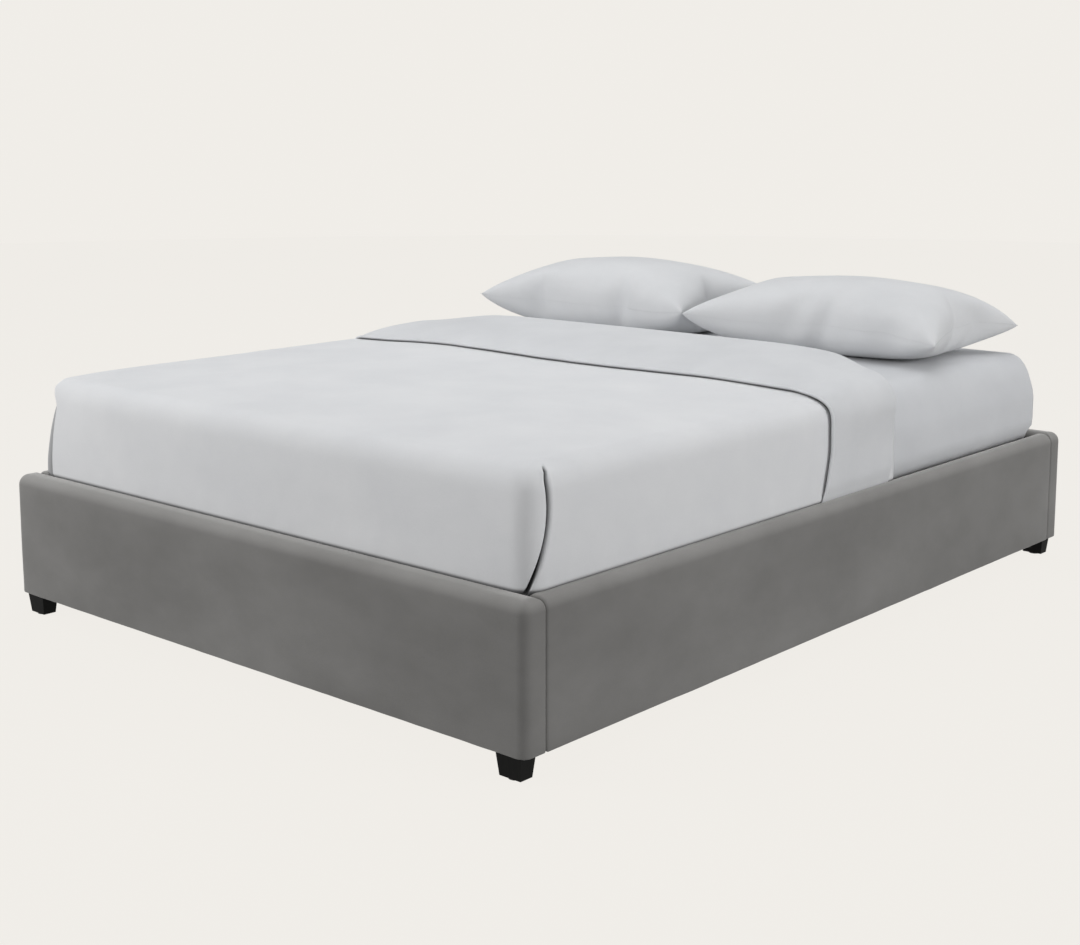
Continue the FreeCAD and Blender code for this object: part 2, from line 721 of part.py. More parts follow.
half = "mattress_width / 2"
ends = ("-mattress_length / 2", "mattress_length / 2")
rounds = ("mattress_corner", "mattress_edge")
ticking_outer = soft_block("ticking_outside", half, *ends, SLEEP_LOW, SLEEP_TOP, *rounds)
core = {
    "half": "mattress_width / 2 - ticking_thick",
    "low_y": "-(mattress_length / 2 - ticking_thick)",
    "high_y": "mattress_length / 2 - ticking_thick",
    "corner": "mattress_corner - ticking_thick",
    "edge": "mattress_edge - ticking_thick",
}
foam_low = f"({SLEEP_LOW} + ticking_thick)"
foam_top = f"({SLEEP_TOP} - ticking_thick)"
foam_split = f"({foam_top} - comfort_height)"
hollow = soft_block("ticking_inside", low=foam_low, high=foam_top, **core)
shell("mattress_ticking", ticking_outer, hollow)
base = soft_block("base_foam", low=foam_low, high=foam_split, rounded="bottom", **core)
comfort = soft_block("comfort_foam", low=foam_split, high=foam_top, rounded="top", **core)
keep("mattress_base_foam", base)
keep("mattress_comfort_foam", comfort)

sheet_ends = ("-(mattress_length / 2 + sheet_thick)", "mattress_length / 2 + sheet_thick")
sheet_skin = ("mattress_corner + sheet_thick", "mattress_edge + sheet_thick", "top")
sheet_half = "mattress_width / 2 + sheet_thick"
sheet_base = f"{SLEEP_LOW} + sheet_low"
sheet_outer = soft_block("sheet_outside", sheet_half, *sheet_ends, sheet_base, SHEET_TOP, *sheet_skin)
sheet_inner = soft_block("sheet_inside", half, *ends, f"{SLEEP_LOW} - 20", SLEEP_TOP, *rounds, "top")
shell("fitted_sheet", sheet_outer, sheet_inner)

duvet_skin = ("duvet_corner", "duvet_edge", "top")
duvet_ends = (f"-{DUVET_FOOT}", f"{DUVET_END} + 200")
bulge = soft_block("duvet_bulge", DUVET_HALF, *duvet_ends, BEDDING_LOW, DUVET_TOP, *duvet_skin)
tuck_half = "mattress_width / 2 + sheet_thick + tuck_clear + tuck_thick"
tuck_foot = "-(mattress_length / 2 + sheet_thick + tuck_clear + tuck_thick)"
tuck = soft_block(
    "duvet_tuck",
    tuck_half,
    tuck_foot,
    f"{DUVET_END} + 200",
    f"{BEDDING_LOW} - tuck_depth",
    f"{BEDDING_LOW} + tuck_depth",
    "mattress_corner + sheet_thick + tuck_clear + tuck_thick",
    "1",
    "top",
)
duvet_solid = doc.addObject("Part::Fuse", "duvet_solid")
duvet_solid.Base = bulge
duvet_solid.Tool = tuck
sheet_room = soft_block(
    "duvet_inside",
    "mattress_width / 2 + sheet_thick + tuck_clear",
    "-(mattress_length / 2 + sheet_thick + tuck_clear)",
    f"{DUVET_END} + 300",
    f"{BEDDING_LOW} - 2 * tuck_depth",
    SHEET_TOP,
    "mattress_corner + sheet_thick + tuck_clear",
    "mattress_edge + sheet_thick",
    "top",
)
duvet_whole = doc.addObject("Part::Cut", "duvet_whole")
duvet_whole.Base = duvet_solid
duvet_whole.Tool = sheet_room
beyond = doc.addObject("Part::Box", "beyond_duvet")
bind(beyond, "Length", f"2 * {HALF_WIDTH}")
bind(beyond, "Width", "mattress_length")
bind(beyond, "Height", "mattress_length")
place(beyond, (f"-{HALF_WIDTH}", DUVET_END, "0"))
shell("duvet", duvet_whole, beyond)


def across_block(name, half_text, low, high, edge, low_y, high_y):
    """A prism along Y with its two upper edges rounded."""
    body = doc.addObject("PartDesign::Body", name)
    sketch = sketch_on(body, "XZ_Plane")
    draw_crowned(sketch, f"-({half_text})", half_text, "0", f"({high}) - ({low})", edge, edge)
    pad(body, sketch, f"({high_y}) - ({low_y})", both_ways=True)
    place(body, ("0", f"(({high_y}) + ({low_y})) / 2", low))
    return body


fold_half = f"{DUVET_HALF} + fold_side"
fold_outside = (BEDDING_LOW, f"{DUVET_TOP} + fold_thick", "duvet_edge + fold_side")
fold_outer = across_block("fold_outside", fold_half, *fold_outside, FOLD_START, DUVET_END)
fold_inside = (f"{BEDDING_LOW} - 20", DUVET_TOP, "duvet_edge")
fold_span = (f"{FOLD_START} - 20", f"{DUVET_END} + 20")
fold_inner = across_block("fold_inside", DUVET_HALF, *fold_inside, *fold_span)
shell("duvet_turndown", fold_outer, fold_inner)


def pillow(name, way):
    """A pillow: an insert inside a case, on one side of the bed."""
    pieces = []
    for part_name, shrink in (("outside", "0"), ("inside", "case_thick"), ("insert", "case_thick")):
        body = doc.addObject("PartDesign::Body", f"{name}_{part_name}")
        sketch = sketch_on(body, "XY_Plane")
        corner = (f"pillow_length / 2 - {shrink}", f"pillow_depth / 2 - {shrink}")
        draw_rectangle(sketch, tuple(f"-({text})" for text in corner), corner)
        pad(body, sketch, f"pillow_height - 2 * {shrink}")
        fillet(body, upright, f"pillow_corner - {shrink}")
        top = number(f"pillow_height - 2 * {shrink}")
        fillet(body, lambda item: level_at(0)(item) or level_at(top)(item), f"pillow_edge - {shrink}")
        middle = f"{way} * (pillow_length + pillow_gap) / 2"
        depth = f"{INSIDE_Y} - pillow_back - pillow_depth / 2"
        place(body, (middle, depth, f"{SHEET_TOP} + deck_clear + {shrink}"))
        pieces.append(body)
    shell(f"{name}_case", pieces[0], pieces[1])
    keep(f"{name}_insert", pieces[2])


pillow("pillow_left", -1)
pillow("pillow_right", 1)


# ---------------------------------------------------------------- checks and files

doc.recompute()
failed = [item.Label for item in doc.Objects if {"Invalid", "Error"} & set(item.State)]
if failed:
    raise RuntimeError(f"failed to compute: {failed}")
for name, item in nodes.items():
    if item.Shape.isNull() or not item.Shape.isValid():
        raise RuntimeError(f"{name} has no valid shape")

os.makedirs("parts", exist_ok=True)
for name, item in nodes.items():
    item.Shape.exportStep(f"parts/{name}.step")
    print(name, len(item.Shape.Solids), round(item.Shape.Volume / 1e6, 3), "dm3")
print(len(nodes), "sub-parts")
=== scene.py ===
import math

import bpy
import numpy as np
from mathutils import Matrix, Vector, noise


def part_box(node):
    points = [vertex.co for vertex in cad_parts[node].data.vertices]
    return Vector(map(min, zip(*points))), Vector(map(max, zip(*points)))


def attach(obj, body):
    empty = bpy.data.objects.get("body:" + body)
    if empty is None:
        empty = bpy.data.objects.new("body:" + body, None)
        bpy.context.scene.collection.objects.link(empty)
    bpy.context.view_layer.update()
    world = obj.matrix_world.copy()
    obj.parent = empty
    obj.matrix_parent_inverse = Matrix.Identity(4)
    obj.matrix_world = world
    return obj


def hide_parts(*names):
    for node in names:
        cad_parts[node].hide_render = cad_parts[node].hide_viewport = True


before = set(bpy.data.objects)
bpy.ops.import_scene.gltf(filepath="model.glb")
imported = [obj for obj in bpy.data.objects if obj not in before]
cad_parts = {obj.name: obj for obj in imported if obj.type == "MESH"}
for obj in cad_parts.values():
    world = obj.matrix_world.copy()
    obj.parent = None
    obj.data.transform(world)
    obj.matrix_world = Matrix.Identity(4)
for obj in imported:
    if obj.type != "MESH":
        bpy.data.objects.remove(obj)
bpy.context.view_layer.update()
scene = bpy.context.scene
scene.view_settings.view_transform = "Standard"

MM = 0.001
FRAME_BODY = "frame"
MATTRESS_BODY = "mattress"


# ---------------------------------------------------------------- finishes

class Finish:
    """A material, with the few ways in which this bed's finishes are put together."""

    def __init__(self, name, **surface):
        self.material = bpy.data.materials.new(name)
        self.material.use_nodes = True
        self.tree = self.material.node_tree
        self.tree.nodes.clear()
        out = self.node("OutputMaterial")
        self.shader = self.node("BsdfPrincipled")
        self.tree.links.new(self.shader.outputs[0], out.inputs["Surface"])
        self.coordinates = self.node("TexCoord")
        self.place = self.coordinates.outputs["Object"]
        for socket, value in surface.items():
            self.shader.inputs[socket.replace("_", " ")].default_value = value

    def node(self, kind):
        return self.tree.nodes.new("ShaderNode" + kind)

    def feed(self, target, source):
        """Joins a value or another node's output to an input."""
        if isinstance(source, bpy.types.NodeSocket):
            self.tree.links.new(source, target)
        else:
            target.default_value = source

    def stretched(self, *scale):
        """The piece's coordinates, stretched along its axes."""
        mapping = self.node("Mapping")
        self.feed(mapping.inputs["Vector"], self.place)
        mapping.inputs["Scale"].default_value = scale
        return mapping.outputs[0]

    def mottle(self, scale, detail=3.0, at=None, roughness=0.55):
        """Cloudy noise from 0 to 1."""
        cloud = self.node("TexNoise")
        self.feed(cloud.inputs["Vector"], at or self.place)
        cloud.inputs["Scale"].default_value = scale
        cloud.inputs["Detail"].default_value = detail
        cloud.inputs["Roughness"].default_value = roughness
        return cloud.outputs["Fac"]

    def cells(self, scale, at=None):
        """Distance to the nearest of many scattered points, for pile, felt and pitted metal."""
        cell = self.node("TexVoronoi")
        self.feed(cell.inputs["Vector"], at or self.place)
        cell.inputs["Scale"].default_value = scale
        return cell.outputs["Distance"]

    def sum(self, kind, first, second):
        """One arithmetic step."""
        step = self.node("Math")
        step.operation = kind
        self.feed(step.inputs[0], first)
        self.feed(step.inputs[1], second)
        return step.outputs[0]

    def attribute(self, name):
        """A value that the piece's own mesh carries, 0 where it carries none."""
        carried = self.node("Attribute")
        carried.attribute_name = name
        return carried.outputs["Fac"]

    def facing_up(self):
        """1 where the piece faces up, 0 where it stands upright."""
        split = self.node("SeparateXYZ")
        self.feed(split.inputs[0], self.coordinates.outputs["Normal"])
        return self.sum("MAXIMUM", split.outputs[2], 0.0)

    def weave(self, pitch):
        """Threads over and under each other, whichever way the surface faces."""
        split = self.node("SeparateXYZ")
        turns = 2 * math.pi / pitch
        self.feed(split.inputs[0], self.stretched(turns, turns, turns))
        waves = [self.sum("SINE", axis, 0.0) for axis in split.outputs]
        pairs = [self.sum("MULTIPLY", waves[i], waves[(i + 1) % 3]) for i in range(3)]
        return self.sum("ADD", self.sum("ADD", pairs[0], pairs[1]), pairs[2])

    def colour(self, share, *stops):
        """Colours run through by a share: (position, (red, green, blue)) for each stop."""
        ramp = self.node("ValToRGB")
        self.feed(ramp.inputs[0], share)
        keys = ramp.color_ramp.elements
        while len(keys) < len(stops):
            keys.new(0.5)
        for key, (position, colour) in zip(keys, stops):
            key.position = position
            key.color = (*colour, 1.0)
        self.feed(self.shader.inputs["Base Color"], ramp.outputs[0])
        return self

    def darkened(self, share, low, high):
        """Multiplies the colour so far by a grey that runs from low to high with a share."""
        target = self.shader.inputs["Base Color"]
        spread = self.node("MapRange")
        self.feed(spread.inputs["Value"], share)
        spread.inputs["To Min"].default_value = low
        spread.inputs["To Max"].default_value = high
        mix = self.node("Mix")
        mix.data_type = "RGBA"
        mix.blend_type = "MULTIPLY"
        mix.inputs[0].default_value = 1.0
        self.feed(mix.inputs[6], target.links[0].from_socket)
        self.feed(mix.inputs[7], spread.outputs[0])
        self.feed(target, mix.outputs[2])
        return self

    def rough(self, share, low, high):
        """Roughness that runs from low to high with a share."""
        spread = self.node("MapRange")
        self.feed(spread.inputs["Value"], share)
        spread.inputs["To Min"].default_value = low
        spread.inputs["To Max"].default_value = high
        self.feed(self.shader.inputs["Roughness"], spread.outputs[0])
        return self

    def bump(self, height, depth, strength=1.0):
        """Raises the surface by a height pattern. Calls add up."""
        target = self.shader.inputs["Normal"]
        relief = self.node("Bump")
        self.feed(relief.inputs["Height"], height)
        relief.inputs["Distance"].default_value = depth
        relief.inputs["Strength"].default_value = strength
        if target.is_linked:
            self.feed(relief.inputs["Normal"], target.links[0].from_socket)
        self.feed(target, relief.outputs[0])
        return self


def velvet():
    """Short-pile grey upholstery whose pile lies this way and that, painted lighter where it faces up."""
    made = Finish("grey_short_pile", Sheen_Weight=0.85, Sheen_Roughness=0.33,
                  Sheen_Tint=(0.88, 0.87, 0.85, 1.0), Specular_IOR_Level=0.15)
    brushed = made.mottle(3.2, 4.0, made.stretched(1.0, 1.0, 1.7))
    made.colour(brushed, (0.28, (0.190, 0.186, 0.179)), (0.74, (0.256, 0.251, 0.243)))
    made.darkened(made.mottle(900.0, 2.0), 0.84, 1.12)
    # painted highlight: the colour is up to half again lighter where the cloth faces up, as if lit from above
    made.darkened(made.facing_up(), 1.0, 1.5)
    made.rough(made.mottle(14.0), 0.82, 0.95)
    made.bump(made.cells(1100.0), 0.25 * MM, 0.35)
    made.bump(made.mottle(60.0, 4.0), 0.5 * MM, 0.35)
    return made.material


def cotton(name, dark, light, pitch, crinkle):
    """Plain-woven bed linen with faint crinkles, and painted shade where the mesh marks it."""
    made = Finish(name, Sheen_Weight=0.18, Sheen_Roughness=0.5, Specular_IOR_Level=0.2)
    made.colour(made.mottle(5.0, 4.0), (0.3, dark), (0.7, light))
    made.darkened(made.mottle(420.0, 2.0), 0.97, 1.02)
    # painted shade: the colour is darkened down to a twentieth where the mesh marks folds, creases and
    # undercuts
    made.darkened(made.attribute("painted_shade"), 1.0, 0.05)
    made.rough(made.mottle(9.0), 0.78, 0.92)
    made.bump(made.weave(pitch), 0.12 * MM, 0.3)
    made.bump(made.mottle(22.0, 5.0, made.stretched(1.0, 0.6, 1.4)), crinkle, 0.5)
    return made.material


def ticking_cloth():
    """Mattress ticking, knitted with small diamonds."""
    made = Finish("mattress_ticking_cloth", Sheen_Weight=0.1, Specular_IOR_Level=0.25)
    diamonds = made.weave(38 * MM)
    made.colour(diamonds, (0.2, (0.62, 0.62, 0.61)), (0.8, (0.74, 0.74, 0.73)))
    made.rough(made.mottle(30.0), 0.75, 0.9)
    made.bump(diamonds, 2.5 * MM, 0.7)
    made.bump(made.weave(1.6 * MM), 0.15 * MM, 0.4)
    return made.material


def timber(name, dark, light, along, knots=0.0):
    """Sawn wood with its grain along X, Y or Z."""
    made = Finish(name, Specular_IOR_Level=0.35)
    scale = [9.0, 9.0, 9.0]
    scale["XYZ".index(along)] = 0.55
    grain = made.mottle(7.0, 9.0, made.stretched(*scale), 0.65)
    made.colour(grain, (0.28, dark), (0.62, light))
    fine = made.mottle(60.0, 4.0, made.stretched(*scale))
    made.darkened(fine, 0.86, 1.08)
    made.darkened(made.mottle(2.2), 0.9, 1.06 - knots)
    made.rough(fine, 0.5, 0.72)
    made.bump(fine, 0.3 * MM, 0.4)
    return made.material


def stained_black():
    """Black-stained hardwood under satin lacquer, a little worn."""
    made = Finish("black_stained_wood", Coat_Weight=0.04, Coat_Roughness=0.4, Specular_IOR_Level=0.18)
    grain = made.mottle(26.0, 8.0, made.stretched(6.0, 6.0, 0.8), 0.6)
    made.colour(grain, (0.3, (0.0035, 0.0032, 0.0028)), (0.75, (0.0085, 0.008, 0.0068)))
    made.rough(made.mottle(40.0, 5.0), 0.32, 0.55)
    made.bump(grain, 0.25 * MM, 0.3)
    return made.material


def metal(name, dark, light, low, high, speck):
    """Plated or drawn metal with a worn, specked finish."""
    made = Finish(name, Metallic=1.0)
    made.colour(made.mottle(speck, 5.0), (0.3, dark), (0.7, light))
    made.rough(made.mottle(speck * 1.7, 4.0), low, high)
    made.bump(made.cells(speck * 12), 0.08 * MM, 0.25)
    return made.material


def moulded(name, dark, light, low, high):
    """Moulded plastic with a fine grain."""
    made = Finish(name, Specular_IOR_Level=0.45)
    made.colour(made.mottle(60.0), (0.3, dark), (0.7, light))
    made.rough(made.mottle(120.0), low, high)
    made.bump(made.mottle(700.0, 2.0), 0.1 * MM, 0.3)
    return made.material


def fibrous(name, dark, light, scale):
    """Felt or foam: a matt mass of fibres or bubbles."""
    made = Finish(name, Sheen_Weight=0.2, Specular_IOR_Level=0.1)
    made.colour(made.cells(scale), (0.1, dark), (0.8, light))
    made.darkened(made.mottle(12.0), 0.92, 1.05)
    made.rough(made.mottle(50.0), 0.85, 0.97)
    made.bump(made.cells(scale), 0.6 * MM, 0.5)
    return made.material


def webbing_cloth():
    """Woven polypropylene tape."""
    made = Finish("woven_tape", Sheen_Weight=0.1, Specular_IOR_Level=0.3)
    ribs = made.weave(3.0 * MM)
    made.colour(ribs, (0.2, (0.45, 0.44, 0.42)), (0.8, (0.60, 0.59, 0.57)))
    made.rough(made.mottle(50.0), 0.6, 0.8)
    made.bump(ribs, 0.4 * MM, 0.6)
    return made.material


UPHOLSTERY = velvet()
DUVET_COTTON = cotton("duvet_cotton", (0.73, 0.737, 0.752), (0.785, 0.79, 0.80), 1.1 * MM, 1.2 * MM)
# the duvet's cotton a little darker, for the turned-down band
DARKER_DUVET_COTTON = cotton("duvet_cotton_darker", (0.645, 0.654, 0.67), (0.71, 0.718, 0.732), 1.1 * MM, 1.8 * MM)
SHEET_COTTON = cotton("sheet_cotton", (0.615, 0.625, 0.645), (0.665, 0.675, 0.692), 0.9 * MM, 0.9 * MM)
PILLOW_COTTON = cotton("pillow_cotton", (0.675, 0.682, 0.694), (0.73, 0.736, 0.746), 1.0 * MM, 1.4 * MM)
THREAD = cotton("sewing_thread", (0.62, 0.63, 0.645), (0.70, 0.71, 0.72), 0.5 * MM, 0.1 * MM)
TICKING = ticking_cloth()
PLY = timber("panel_plywood", (0.42, 0.29, 0.17), (0.62, 0.46, 0.29), "X")
PINE = timber("frame_pine", (0.50, 0.33, 0.17), (0.70, 0.52, 0.31), "Y", 0.06)
BIRCH = timber("slat_birch", (0.56, 0.42, 0.27), (0.76, 0.62, 0.44), "X")
POST_PINE = timber("post_pine", (0.50, 0.33, 0.17), (0.70, 0.52, 0.31), "Z")
BLACK_WOOD = stained_black()
PLATE = metal("zinc_plate", (0.50, 0.50, 0.49), (0.68, 0.68, 0.67), 0.28, 0.48, 90.0)
BOLT_STEEL = metal("bolt_steel", (0.42, 0.42, 0.42), (0.60, 0.60, 0.61), 0.22, 0.42, 160.0)
BRASS = metal("insert_brass", (0.52, 0.38, 0.16), (0.70, 0.53, 0.25), 0.25, 0.45, 160.0)
NYLON = moulded("glide_nylon", (0.02, 0.02, 0.02), (0.045, 0.045, 0.045), 0.4, 0.6)
FELT = fibrous("felt", (0.05, 0.048, 0.045), (0.13, 0.125, 0.12), 900.0)
WEBBING = webbing_cloth()


# ---------------------------------------------------------------- the CAD nodes that stay

NODE_FINISHES = (
    ("slat_tapes", WEBBING),
    ("slat_", BIRCH),
    ("leg_bolts", BOLT_STEEL),
    ("leg_", BLACK_WOOD),
    ("corner_bolts", BOLT_STEEL),
    ("frame_screws", BOLT_STEEL),
    ("threaded_inserts", BRASS),
    ("bracket_", PLATE),
    ("hanger_", PLATE),
    ("glide_", NYLON),
    ("felt_pads", FELT),
    ("post_", POST_PINE),
    ("centre_beam", PINE),
    ("left_ledger", PINE),
    ("right_ledger", PINE),
    ("left_rail_board", PINE),
    ("right_rail_board", PINE),
    ("foot_panel_board", PLY),
    ("head_panel_board", PLY),
)


def finish_nodes():
    """Gives every CAD node that stays in sight its own finish."""
    for name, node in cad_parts.items():
        for start, finish in NODE_FINISHES:
            if name.startswith(start):
                node.data.materials.clear()
                node.data.materials.append(finish)
                break


# ---------------------------------------------------------------- mesh helpers

def as_piece(name, points, faces, finish):
    """An object of that name, smooth and in place, from points and faces."""
    mesh = bpy.data.meshes.new(name)
    mesh.from_pydata([tuple(map(float, p)) for p in points], [], [tuple(map(int, f)) for f in faces])
    mesh.materials.append(finish)
    mesh.shade_smooth()
    piece = bpy.data.objects.new(name, mesh)
    scene.collection.objects.link(piece)
    return piece


def frozen(piece):
    """The piece with its modifiers worked into its mesh."""
    graph = bpy.context.evaluated_depsgraph_get()
    mesh = bpy.data.meshes.new_from_object(piece.evaluated_get(graph), depsgraph=graph)
    piece.modifiers.clear()
    piece.data = mesh
    return piece


def mounted(piece, body, slot, *nodes):
    """The piece on its body, with the CAD nodes it stands for hidden. The slot argument is not used."""
    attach(piece, body)
    if nodes:
        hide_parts(*nodes)
    return piece


def read(piece, what="co"):
    """The piece's points or normals, as rows of three."""
    values = np.empty(len(piece.data.vertices) * 3)
    piece.data.vertices.foreach_get(what, values)
    return values.reshape(-1, 3)


def write(piece, points):
    """Puts the piece's points in those places."""
    piece.data.vertices.foreach_set("co", points.ravel())
    piece.data.update()


def swell(piece, rule):
    """Moves each point along its own normal by rule(points, normals)."""
    points, normals = read(piece), read(piece, "normal")
    write(piece, points + normals * rule(points, normals)[:, None])


def paint_shade(piece, shares):
    """Marks on each point, from 0 to 1, how much painted shade the cloth's finish lays on it."""
    layer = piece.data.attributes.new("painted_shade", "FLOAT", "POINT")
    layer.data.foreach_set("value", np.asarray(shares, np.float32))


def weighted(piece, name, weights):
    """Gives each of the piece's points a weight under that name, for a modifier to go by."""
    group = piece.vertex_groups.new(name=name)
    for i, weight in enumerate(weights):
        group.add([i], float(weight), "REPLACE")


def softened(piece, weights, rounds):
    """The piece with its points eased towards their neighbours, each by its weight."""
    weighted(piece, "ease", weights)
    easing = piece.modifiers.new("easing", "SMOOTH")
    easing.factor = 0.5
    easing.iterations = rounds
    easing.vertex_group = "ease"
    piece = frozen(piece)
    piece.vertex_groups.clear()
    return piece


def subdivided(piece):
    """The piece with each of its faces divided once and rounded."""
    smooth = piece.modifiers.new("soft", "SUBSURF")
    smooth.levels = 1
    smooth.render_levels = 1
    return frozen(piece)


def lumps(points, size, seed):
    """Smooth noise from about -1 to 1, with lumps of that size."""
    shift = Vector((7.3 * seed, 3.1 * seed, 5.7 * seed))
    return np.array([noise.noise(Vector(p) / size + shift) for p in points])


def ease(low, high, value):
    """0 below low, 1 above high and smooth between."""
    share = np.clip((np.asarray(value, float) - low) / (high - low), 0.0, 1.0)
    return share * share * (3 - 2 * share)


def loft(rows, columns, closed):
    """Faces between rows of points, each row running to the left round the form, from the bottom up."""
    faces = []
    for row in range(rows - 1):
        for i in range(columns if closed else columns - 1):
            j = (i + 1) % columns
            low, high = row * columns, (row + 1) * columns
            faces.append((low + i, low + j, high + j, high + i))
    return faces


def lid(first, count, upward):
    """Closes a symmetric ring of points with a strip of faces across it."""
    faces = []
    for i in range(count // 2):
        corners = [i, i + 1, count - i - 1, (count - i) % count]
        corners = list(dict.fromkeys(corners))
        if len(corners) < 3:
            continue
        if not upward:
            corners.reverse()
        faces.append([first + k for k in corners])
    return faces


def plan_ring(low, high, radii, level, along, arc=6):
    """A level loop round a rectangle with rounded corners, from the middle of its left end, turning left.

    low and high are its corners, radii those of the corners from low x and low y round to the left,
    along the number of steps in each long side and arc the number in each corner.
    """
    centres = (
        (low[0] + radii[0], low[1] + radii[0]),
        (high[0] - radii[1], low[1] + radii[1]),
        (high[0] - radii[2], high[1] - radii[2]),
        (low[0] + radii[3], high[1] - radii[3]),
    )
    middle = (low[1] + high[1]) / 2
    points = [(low[0], middle)]
    for k, ((x, y), radius) in enumerate(zip(centres, radii)):
        for step in range(arc + 1):
            turn = math.pi + (k + step / arc) * math.pi / 2
            points.append((x + radius * math.cos(turn), y + radius * math.sin(turn)))
        if k in (0, 2):
            start = points[-1][0]
            end = centres[(k + 1) % 4][0]
            for step in range(1, along):
                points.append((start + (end - start) * step / along, points[-1][1]))
        if k == 1:
            points.append((high[0], middle))
    return [(x, y, level) for x, y in points]


def rounding(left, radius):
    """How far a surface rounded over at its edge stands back, that far before the edge's end."""
    rise = max(0.0, radius - max(0.0, left))
    return radius - math.sqrt(max(0.0, radius * radius - rise * rise))


def quarter(radius, steps):
    """Distances before the edge's end at which a rounding is cut, for even turns of it."""
    return [radius * (1 - math.sin(math.pi / 2 * k / steps)) for k in range(steps + 1)]


def spaced(start, end, step):
    """Values from start up to and including end, about step apart."""
    count = max(1, round((end - start) / step))
    return [start + (end - start) * k / count for k in range(count + 1)]


# ---------------------------------------------------------------- what repeats along a path

def path_tree(name, shape):
    """A node tree that sets small shapes along a path, turned to follow it."""
    tree = bpy.data.node_groups.new(name, "GeometryNodeTree")
    face = tree.interface
    face.new_socket(name="Path", in_out="INPUT", socket_type="NodeSocketGeometry")
    sizes = {}
    for title in ("Spacing", "Length", "Width", "Height"):
        sizes[title] = face.new_socket(name=title, in_out="INPUT", socket_type="NodeSocketFloat")
    sizes["Finish"] = face.new_socket(name="Finish", in_out="INPUT", socket_type="NodeSocketMaterial")
    face.new_socket(name="Pieces", in_out="OUTPUT", socket_type="NodeSocketGeometry")

    def add(kind):
        return tree.nodes.new(kind)

    given = add("NodeGroupInput")
    curve = add("GeometryNodeMeshToCurve")
    even = add("GeometryNodeResampleCurve")
    even.mode = "LENGTH"
    if shape == "stitch":
        unit = add("GeometryNodeMeshUVSphere")
        unit.inputs["Segments"].default_value = 6
        unit.inputs["Rings"].default_value = 5
        unit.inputs["Radius"].default_value = 0.5
    else:
        unit = add("GeometryNodeMeshCube")
    tangent = add("GeometryNodeInputTangent")
    turn = add("FunctionNodeAlignRotationToVector")
    turn.axis = "X"
    size = add("ShaderNodeCombineXYZ")
    uneven = add("FunctionNodeRandomValue")
    uneven.data_type = "FLOAT"
    uneven.inputs[2].default_value = 0.88
    uneven.inputs[3].default_value = 1.08
    uneven.inputs["Seed"].default_value = 4
    scale = add("ShaderNodeVectorMath")
    scale.operation = "SCALE"
    spread = add("GeometryNodeInstanceOnPoints")
    real = add("GeometryNodeRealizeInstances")
    paint = add("GeometryNodeSetMaterial")
    out = add("NodeGroupOutput")
    link = tree.links.new
    link(given.outputs["Path"], curve.inputs[0])
    link(curve.outputs[0], even.inputs["Curve"])
    link(given.outputs["Spacing"], even.inputs["Length"])
    link(even.outputs[0], spread.inputs["Points"])
    link(unit.outputs[0], spread.inputs["Instance"])
    link(tangent.outputs[0], turn.inputs["Vector"])
    link(turn.outputs[0], spread.inputs["Rotation"])
    for title, socket in (("Length", "X"), ("Width", "Y"), ("Height", "Z")):
        link(given.outputs[title], size.inputs[socket])
    link(size.outputs[0], scale.inputs[0])
    link(uneven.outputs[1], scale.inputs["Scale"])
    link(scale.outputs[0], spread.inputs["Scale"])
    link(spread.outputs[0], real.inputs[0])
    link(real.outputs[0], paint.inputs["Geometry"])
    link(given.outputs["Finish"], paint.inputs["Material"])
    link(paint.outputs[0], out.inputs[0])
    return tree, {title: socket.identifier for title, socket in sizes.items()}


STITCHES = path_tree("stitches_along_path", "stitch")
STAPLES = path_tree("staples_along_path", "staple")


def along_paths(name, paths, kind, finish, spacing, size):
    """Stitches or staples along each path, as one plain mesh."""
    tree, sockets = kind
    points, edges = [], []
    for path in paths:
        first = len(points)
        points += [tuple(map(float, p)) for p in path]
        edges += [(k, k + 1) for k in range(first, len(points) - 1)]
    mesh = bpy.data.meshes.new(name)
    mesh.from_pydata(points, edges, [])
    piece = bpy.data.objects.new(name, mesh)
    scene.collection.objects.link(piece)
    modifier = piece.modifiers.new("repeat", "NODES")
    modifier.node_group = tree
    modifier[sockets["Spacing"]] = spacing
    for title, value in zip(("Length", "Width", "Height"), size):
        modifier[sockets[title]] = value
    modifier[sockets["Finish"]] = finish
    piece = frozen(piece)
    piece.data.shade_smooth()
    return piece


# ---------------------------------------------------------------- upholstered panels

# roundings of the padded covers
TOP_OUTER = 25 * MM
TOP_INNER = 20 * MM
PANEL_CORNER = 22 * MM
INNER_CORNER = 6 * MM
BOTTOM_EDGE = 4 * MM
RAIL_END = 7 * MM
# how closely a skin is cut, and how far the foam and the pulled cloth stand in and out
PANEL_STEP = 18 * MM
PANEL_COLUMNS = 92
FOAM_GIVE = 1.6 * MM
CLOTH_PULL = 0.7 * MM
# staples: how far apart they are, their length, width and height, and the ends of their rows
STAPLE_SPACING = 42 * MM
STAPLE_SIZE = (11 * MM, 1.2 * MM, 0.7 * MM)
RAIL_ROW_END = 0.96
PANEL_ROW_END = 0.72


def panel_levels(low, high):
    """Heights at which an end panel's skin is cut, closer where it turns."""
    bottom = sorted(low + BOTTOM_EDGE - left for left in quarter(BOTTOM_EDGE, 4))
    side = spaced(low + BOTTOM_EDGE, high - TOP_OUTER, PANEL_STEP)[1:-1]
    top = [high - left for left in quarter(TOP_OUTER, 9)]
    return bottom + side + sorted(top)


